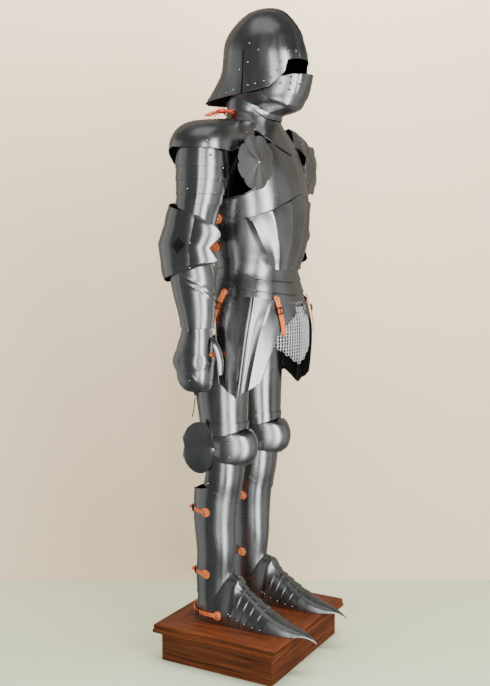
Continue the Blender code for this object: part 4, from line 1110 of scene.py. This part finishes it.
# Leg plates.
# Closed cuisses and greaves, with a domed knee cap between narrow lames. The cap runs on
# into a folded wing behind the outer side of the knee.
LEG_X = -0.110
LEG = smooth_rows((
    (0.990, LEG_X, 0.046, 0.0780, 0.0880, 0.0880, 2.0),
    (0.920, LEG_X, 0.044, 0.0790, 0.0870, 0.0870, 2.0),
    (0.830, LEG_X, 0.042, 0.0760, 0.0820, 0.0820, 2.0),
    (0.750, LEG_X, 0.038, 0.0700, 0.0760, 0.0740, 2.0),
    (0.690, LEG_X, 0.038, 0.0660, 0.0720, 0.0700, 2.0),
    (0.620, LEG_X, 0.042, 0.0650, 0.0690, 0.0720, 2.0),
    (0.560, LEG_X, 0.049, 0.0643, 0.0683, 0.0830, 2.0),
    (0.520, LEG_X, 0.056, 0.0633, 0.0673, 0.0800, 2.0),
    (0.490, LEG_X, 0.060, 0.0628, 0.0668, 0.0770, 2.0),
    (0.430, LEG_X, 0.065, 0.0600, 0.0665, 0.0715, 2.0),
    (0.340, LEG_X, 0.064, 0.0540, 0.0630, 0.0640, 2.0),
    (0.260, LEG_X, 0.071, 0.0490, 0.0620, 0.0600, 2.0),
    (0.200, LEG_X, 0.073, 0.0470, 0.0600, 0.0550, 2.0),
    (0.145, LEG_X, 0.075, 0.0480, 0.0600, 0.0530, 2.0),
))
KNEE = smooth_rows((
    (0.740, LEG_X, 0.038, 0.0707, 0.0790, 0.0750, 2.0),
    (0.729, LEG_X, 0.038, 0.0707, 0.0840, 0.0750, 2.0),
    (0.713, LEG_X, 0.038, 0.0710, 0.1045, 0.0740, 2.0),
    (0.678, LEG_X, 0.038, 0.0745, 0.1155, 0.0720, 2.0),
    (0.640, LEG_X, 0.038, 0.0724, 0.1065, 0.0700, 2.0),
    (0.618, LEG_X, 0.039, 0.0700, 0.0840, 0.0680, 2.0),
))
SHIN = smooth_rows((
    (0.640, LEG_X, 0.039, 0.0700, 0.0700, 0.0660, 2.0),
    (0.600, LEG_X, 0.044, 0.0682, 0.0711, 0.0680, 2.0),
    (0.560, LEG_X, 0.049, 0.0668, 0.0713, 0.0830, 2.0),
    (0.520, LEG_X, 0.056, 0.0658, 0.0703, 0.0800, 2.0),
    (0.485, LEG_X, 0.060, 0.0652, 0.0696, 0.0770, 2.0),
))
POLEYN_TOP = ((0, 0.731), (45, 0.722), (105, 0.706))
POLEYN_FOOT = ((0, 0.619), (45, 0.628), (105, 0.642))
SHIN_FOOT = ((0, 0.494), (35, 0.508), (60, 0.530), (105, 0.560))
GREAVE_TOP = ((0, 0.550), (70, 0.550), (90, 0.552), (110, 0.545), (180, 0.532))
GREAVE_FOOT = ((0, 0.278), (30, 0.256), (60, 0.209), (75, 0.192), (105, 0.188), (135, 0.201), (180, 0.212))
WING = smooth_rows((
    # the knee wing: x, y, top, foot
    (-0.1822, 0.031, 0.708, 0.640),
    (-0.1875, 0.043, 0.742, 0.614),
    (-0.1930, 0.061, 0.756, 0.600),
    (-0.1970, 0.087, 0.753, 0.602),
    (-0.2000, 0.111, 0.736, 0.620),
    (-0.2015, 0.128, 0.706, 0.648),
), 12)
ring = evenly(-180, 175, 5)
front = evenly(-105, 105, 5)
cuisse = [[on_form(LEG, z, d) for d in ring] for z in np.linspace(0.985, 0.692, 40)]
UPPER_LAME = ((0.752, 0.0026), (0.745, 0.0030), (0.7385, 0.0036), (0.738, 0.0026), (0.731, 0.0030),
              (0.722, 0.0032), (0.714, 0.0033))
upper_lame = [[on_form(LEG, z, d, out) for d in front] for z, out in UPPER_LAME]
knee = []
for share in np.linspace(0, 1, 31):
    line = []
    for d in evenly(105, -75, 5):
        top, foot = along(POLEYN_TOP, abs(d)), along(POLEYN_FOOT, abs(d))
        line.append(on_form(KNEE, top + (foot - top) * share, d))
    for x, y, top, foot in WING:
        fold = 0.010 * (1 - abs(2 * share - 1)) ** 1.2
        line.append(Vector((x + fold, y, top + (foot - top) * share)))
    knee.append(line[::-1])
lower_lame = shell(SHIN, front, 0.640, SHIN_FOOT, levels(16, 0.0, 0.0008))
greave_front = shell(LEG, evenly(-89.75, 89.75, 4), GREAVE_TOP, GREAVE_FOOT, levels(44, 0.0, 0.0008),
                     lambda d, z, share: ridge(from_front(d), 12, 0.0014))
greave_back = shell(LEG, evenly(90.25, 269.75, 4.5), GREAVE_TOP, GREAVE_FOOT, levels(44, 0.0, 0.0008))
pair("cuisse", cuisse, closed=True)
pair("knee_lame_upper", upper_lame)
pair("poleyn", knee, sharp=14)
pair("knee_lame_lower", lower_lame)
pair("greave_front", greave_front)
pair("greave_back", greave_back)
for name, side in SIDES:
    for number, z in ((1, 0.478), (2, 0.285), (3, 0.182)):
        path = round_form(LEG, (z, z + 0.004), 76, 140, 0.0025, side, 0.004)
        strap(f"inner_greave_strap_{number}_{name}", path, 0.0115, 0.0135, buckle_at=0.55)
    for number, z in ((1, 0.473), (2, 0.273)):
        path = round_form(LEG, (z, z + 0.004), -80, -182, 0.0, side, 0.026)
        strap(f"greave_strap_{number}_{name}", path, 0.0115, 0.0145, buckle_at=0.58)
rivets("knee_rivets", KNEE, ((0.696, -62), (0.653, -60)), 0.0032)
rivets("leg_rivets", LEG, ((0.566, -94), (0.832, -128)), 0.0032, 0.0014)

# Thigh strap and cord.
# A small blackened buckle sits behind each thigh on a short dark strap, and a thin black
# waxed cord hangs from it with its end cut off.
dark_leather = flat_colour("dark_leather", (0.02, 0.018, 0.016), 0.55)
tree = dark_leather.node_tree
worn = spread(tree, noise(tree, 400, 3), 0.42, 0.66)
link(tree, worn, "Result", tree.nodes["Principled BSDF"], "Roughness")
for name, side in SIDES:
    path = round_form(LEG, (0.846, 0.836), -124, -156, 0.0008, side)
    band = strap(f"thigh_strap_{name}", path, 0.012, tip=False, buckle_at=0.35, rivet=False)
    band.data.materials[0] = dark_leather
    hang = [facing(LEG, z, d, out, side)[0] for z, d, out in
            ((0.822, -140, 0.0042), (0.806, -142, 0.0075), (0.784, -145, 0.0130), (0.762, -148, 0.0200))]
    line = bpy.data.curves.new(f"thigh_cord_{name}", "CURVE")
    line.dimensions = "3D"
    line.bevel_depth = 0.0017
    line.bevel_resolution = 2
    line.use_fill_caps = True
    run = line.splines.new("POLY")
    run.points.add(len(hang) - 1)
    for spot, place in zip(run.points, hang):
        spot.co = (*place, 1)
    line.materials.append(dark_leather)
    cord = bpy.data.objects.new(f"thigh_cord_{name}", line)
    bpy.context.scene.collection.objects.link(cord)
    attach(cord, SUIT)

# Sabatons.
# An ankle and heel plate, five narrow lames that lean over the instep, and a long pointed
# toe cap, all riveted low along the sole.
FOOT = smooth_rows((
    # minus y, half width, top, underside, roundness of the arch
    (0.005, 0.0460, 0.300, 0.1196, 2.3),
    (0.039, 0.0470, 0.242, 0.1196, 2.2),
    (0.082, 0.0490, 0.210, 0.1196, 2.1),
    (0.127, 0.0480, 0.182, 0.1196, 2.0),
    (0.174, 0.0400, 0.158, 0.1199, 1.9),
    (0.212, 0.0280, 0.144, 0.1202, 1.8),
    (0.246, 0.0150, 0.133, 0.1225, 1.8),
    (0.272, 0.0060, 0.119, 0.1140, 2.0),
    (0.284, 0.0026, 0.109, 0.1060, 2.0),
))
SABATON_LINES = (0.004, 0.016, 0.037, 0.060, 0.087, 0.113)
SOLE = 0.1196


def arch(reach, degrees, out=0.0):
    """A point of the foot, at a distance ahead of the ankle and an angle over the instep."""
    half, top, sole, roundness = (float(np.interp(reach, FOOT[:, 0], FOOT[:, k])) for k in range(1, 5))
    angle = radians(degrees)
    across = (half + out) * eased(sin(angle), (2 / roundness))
    return Vector((LEG_X + across, -reach, sole + (top + out - sole) * abs(cos(angle)) ** (2 / roundness)))


def lean_over(line, degrees):
    """How far ahead a lame's edge lies, further over the instep than at the sole."""
    return line + 0.030 * cos(radians(degrees)) ** 0.8


heel = [[] for _ in range(15)]
for d in evenly(-180, -64, 4) + evenly(-60, 60, 4) + evenly(64, 176, 4):
    foot = along(GREAVE_FOOT, from_front(d))
    inner, upper = (on_form(LEG, foot + rise, d, -0.0030) for rise in (0.008, -0.0015))
    if from_front(d) <= 60:
        line = lean_over(SABATON_LINES[0], d * 1.5)
        near, lower = arch(line - 0.010, d * 1.5), arch(line, d * 1.5)
    else:
        angle = radians(d)
        lower = Vector((LEG_X + 0.0465 * eased(sin(angle), 0.85), 0.065 - 0.069 * cos(angle), SOLE))
        near = upper.lerp(lower, 0.75)
    corners = [inner, upper, upper.lerp(near, 0.5), near, lower]
    for k, line in enumerate(heel):
        t = k / 14 * 4
        i = min(int(t), 3)
        line.append(corners[i].lerp(corners[i + 1], t - i))
over = evenly(-90, 90, 4.5)
lames = []
for number, (start, end) in enumerate(zip(SABATON_LINES, SABATON_LINES[1:])):
    first = start - 0.006 if number == 0 else start + 0.0012
    for t in np.linspace(0, 1, 6):
        line, out = first + (end - first) * t, -LAME_STEP * (1 - t)
        lames.append([arch(lean_over(line, d), d, out * (1 + 0.7 * cos(radians(d)))) for d in over])
toe = []
start = SABATON_LINES[-1] + 0.0008
for line in np.linspace(start, 0.2835, 34):
    fade = max(0, 1 - (line - start) / 0.12)
    keel = 1 - (line - start) / 0.171
    toe.append([arch(line + lean_over(0, d) * fade, d, ridge(d, 14, 0.0016) * keel) for d in over])
pair("sabaton_rear", heel, closed=True)
pair("sabaton_lames", lames)
pair("toe_cap", toe, wall=STEEL * 0.8)
for name, side in SIDES:
    flip = Vector((side, 1, 1))
    heel_path = []
    for d in evenly(-52, -196, 4):
        t = (-52 - d) / 144
        lift = 0.014 * max(0.0, (t - 0.75) / 0.25) ** 1.6
        angle = radians(d)
        out = Vector((sin(angle), -cos(angle), 0))
        across = 0.0483 * eased(sin(angle), 0.85)
        point = Vector((LEG_X + across, 0.066 - 0.070 * cos(angle), 0.146 + 0.006 * t))
        heel_path.append(((point + out * (lift + 0.0012)) * flip, out * flip))
    strap(f"heel_strap_{name}", heel_path, 0.0125, 0.0135, buckle_at=0.52)
spots = []
for side in (1, -1):
    for reach in (0.003, 0.012, 0.035, 0.060, 0.090, 0.115):
        for hand in (-1, 1):
            point = arch(reach, hand * 80.0, 0.0003) * Vector((side, 1, 1))
            spots.append((point, Vector((side * hand, 0, 0.25)).normalized(), Vector((0, 1, 0))))
set_copies("sole_rivets", RIVET, spots, 0.0026, rivet_steel)

# Buckles.
# Bent steel frames with a tongue, blackened against rust, sewn into the straps.


def buckle_shape(name):
    """A rounded frame and its tongue, one metre across the strap, lying along X."""
    mesh = bpy.data.meshes.new(name)
    corners, faces = [], []

    def tube(points, radius, closed):
        start = len(corners)
        count = len(points)
        for k, p in enumerate(points):
            before = points[k - 1] if closed or k else p
            after = points[(k + 1) % count] if closed or k < count - 1 else p
            along_it = (Vector(after) - Vector(before)).normalized()
            level = along_it.cross(Vector((0, 0, 1))).normalized()
            for j in range(6):
                a = 2 * pi * j / 6
                corners.append(Vector(p) + level * radius * cos(a) + Vector((0, 0, 1)) * radius * sin(a))
        for k in range(count if closed else count - 1):
            n = (k + 1) % count
            for j in range(6):
                m = (j + 1) % 6
                faces.append((start + k * 6 + j, start + n * 6 + j, start + n * 6 + m, start + k * 6 + m))

    outline = []
    for k in range(20):
        a = 2 * pi * k / 20
        outline.append((0.5 * eased(cos(a), 0.45), 0.56 * eased(sin(a), 0.45), 0.06))
    tube(outline, 0.085, True)
    tube([(-0.5, 0, 0.10), (-0.2, 0, 0.20), (0.2, 0, 0.20), (0.52, 0, 0.16), (0.58, 0, 0.14)], 0.07, False)
    mesh.from_pydata([tuple(c) for c in corners], [], faces)
    mesh.shade_smooth()
    return bpy.data.objects.new(name, mesh)


set_copies("buckles", buckle_shape("buckle_shape"), strap_buckles, 0.0190, black_steel)
set_copies("strap_rivets", RIVET, strap_rivets, 0.0030, rivet_steel)

# Shoulder lace.
# A red leather lace on each side ties the pauldron to the gorget in a loose knot. Its
# loops and loose ends are seven flat strands that cross each other.
lace_red = flat_colour("red_lace", (0.72, 0.07, 0.03), 0.55)
tree = lace_red.node_tree
stained(tree, noise(tree, 140, 3), "Fac", (0.48, 0.030, 0.012), (0.86, 0.12, 0.05))
LACE_STRANDS = (
    # along it, sideways and up at four places, for the loops and the loose ends
    ((0.0, 0.004, 0.004), (0.3, -0.008, 0.012), (0.7, 0.006, 0.013), (1.0, 0.0, 0.004)),
    ((-0.22, -0.010, 0.001), (0.1, 0.010, 0.008), (0.5, -0.004, 0.016), (0.9, 0.008, 0.006)),
    ((-0.30, 0.010, 0.004), (0.2, 0.002, 0.014), (0.6, 0.012, 0.007), (1.05, -0.006, 0.010)),
    ((0.05, -0.014, 0.006), (0.35, 0.000, 0.018), (0.55, 0.010, 0.017), (0.80, -0.012, 0.005)),
    ((-0.12, 0.000, 0.000), (0.25, -0.014, 0.006), (0.60, -0.016, 0.008), (0.95, -0.002, 0.002)),
    ((0.10, 0.016, -0.002), (0.40, 0.014, 0.008), (0.75, -0.002, 0.004), (1.00, 0.010, 0.000)),
    ((0.45, -0.016, 0.003), (0.52, 0.000, 0.019), (0.60, 0.014, 0.006), (0.66, 0.018, 0.000)),
)
outer_end, inner_end = Vector((-0.138, 0.060, 1.664)), Vector((-0.100, 0.006, 1.672))
run = inner_end - outer_end
sideways = Vector((-run.y, run.x, 0)).normalized()
for name, side in SIDES:
    for number, strand in enumerate(LACE_STRANDS, 1):
        curve = smooth_rows(strand, 8)
        path = []
        for t in np.linspace(0, 1, 14):
            ahead, aside, rise = (float(v) for v in curve[min(int(t * 24), 24)])
            point = outer_end + run * ahead + sideways * aside + Vector((0, 0, rise))
            path.append((point * Vector((side, 1, 1)), Vector((0, 0, 1))))
        made = strap(f"shoulder_lace_{number}_{name}", path, 0.0080, tip=False, rivet=False)
        made.data.materials[0] = lace_red

# Wooden plinth.
# A box of red-brown stained boards with a moulded top that stands out all round. The
# top's boards are mitred at their corners.
PLINTH_WIDTH, PLINTH_DEPTH, PLINTH_HEIGHT = 0.493, 0.427, 0.119
SLAB_THICKNESS, SLAB_OVERHANG = 0.029, 0.021


def wood_look(name, dark, light, roughness):
    """Stained boards, with the figure drawn out along each board's length."""
    made = flat_colour(name, light, roughness)
    tree = made.node_tree
    shader = tree.nodes["Principled BSDF"]
    shader.inputs["Coat Weight"].default_value = 0.06
    shader.inputs["Specular IOR Level"].default_value = 0.3
    shader.inputs["Coat Roughness"].default_value = 0.25
    place = tree.nodes.new("ShaderNodeUVMap")
    place.uv_map = "grain"
    mapping = tree.nodes.new("ShaderNodeMapping")
    mapping.inputs["Scale"].default_value = (2.6, 75, 1)
    figure = tree.nodes.new("ShaderNodeTexNoise")
    figure.inputs["Scale"].default_value = 1.6
    figure.inputs["Detail"].default_value = 6
    figure.inputs["Distortion"].default_value = 0.5
    fine = tree.nodes.new("ShaderNodeTexNoise")
    fine.inputs["Scale"].default_value = 9
    fine.inputs["Detail"].default_value = 3
    both = tree.nodes.new("ShaderNodeMath")
    both.operation = "MULTIPLY_ADD"
    both.inputs[1].default_value = 0.35
    link(tree, place, "UV", mapping, "Vector")
    link(tree, mapping, "Vector", figure, "Vector")
    link(tree, mapping, "Vector", fine, "Vector")
    link(tree, fine, "Fac", both, 0)
    link(tree, figure, "Fac", both, 2)
    stained(tree, both, "Value", dark, light, 0.5, 0.85)
    raised(tree, both, "Value", 0.15, 0.0004)
    return made


wood = wood_look("stained_wood", (0.042, 0.010, 0.003), (0.165, 0.042, 0.012), 0.42)


def boxed(name, profile):
    """A rectangular box with mitred corners: the profile is inset and height, foot to top."""
    mesh = bpy.data.meshes.new(name)
    work = bmesh.new()
    grain = work.loops.layers.uv.new("grain")

    def corner(k, inset, z):
        x, y = SQUARE[k % 4]
        return x * (PLINTH_WIDTH / 2 - inset), y * (PLINTH_DEPTH / 2 - inset), z

    def board(corners, along_x, shift):
        made = work.faces.new([work.verts.new(p) for p in corners])
        for loop in made.loops:
            c = loop.vert.co
            loop[grain].uv = (c.x if along_x else c.y, (c.y if along_x else c.x) + c.z + shift)

    for k in range(4):
        for low, high in zip(profile, profile[1:]):
            corners = [corner(k, *low), corner(k + 1, *low), corner(k + 1, *high), corner(k, *high)]
            board(corners, k % 2 == 0, 0.37 * k)
    board([corner(k, *profile[0]) for k in (0, 3, 2, 1)], True, 2.0)
    board([corner(k, *profile[-1]) for k in range(4)], False, 2.9)
    bmesh.ops.remove_doubles(work, verts=work.verts, dist=1e-6)
    bmesh.ops.recalc_face_normals(work, faces=work.faces)
    work.to_mesh(mesh)
    work.free()
    mesh.shade_smooth()
    mesh.set_sharp_from_angle(angle=radians(28))
    mesh.materials.append(wood)
    made = bpy.data.objects.new(name, mesh)
    bpy.context.scene.collection.objects.link(made)
    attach(made, SUIT)
    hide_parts(name)


under = PLINTH_HEIGHT - SLAB_THICKNESS
boxed("plinth_box", [(SLAB_OVERHANG, z) for z in (0.0, 0.004, under - 0.0003)])
MOULDING = (
    # inset, and height above the slab's underside
    (0.004, 0), (0.0015, 0.0007), (0.0, 0.003), (0.0, 0.0115), (0.0012, 0.0135), (0.0030, 0.0145),
    (0.0030, 0.0155), (0.0022, 0.0175))
SLAB_TOP = (
    # inset, and depth below the top, with the groove of the inner frame
    (0.0022, 0.006), (0.0032, 0.0028), (0.0055, 0.0009), (0.009, 0), (0.0560, 0), (0.0566, 0.0012),
    (0.0572, 0.0012), (0.0578, 0))
slab = [(inset, under + rise) for inset, rise in MOULDING]
slab += [(inset, PLINTH_HEIGHT - drop) for inset, drop in SLAB_TOP]
boxed("plinth_top", slab)

# Inner frame.
# Round iron bars carry the plates from inside: two leg posts, a hip bar, a spine with a
# shoulder bar, and a ball in the helmet. They are painted black.
black_iron = flat_colour("black_iron", (0.014, 0.014, 0.015), 0.5, 0.1)
tree = black_iron.node_tree
worn = spread(tree, noise(tree, 120, 4), 0.38, 0.62)
link(tree, worn, "Result", tree.nodes["Principled BSDF"], "Roughness")
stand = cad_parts["stand_frame"]
stand.data.materials.clear()
stand.data.materials.append(black_iron)
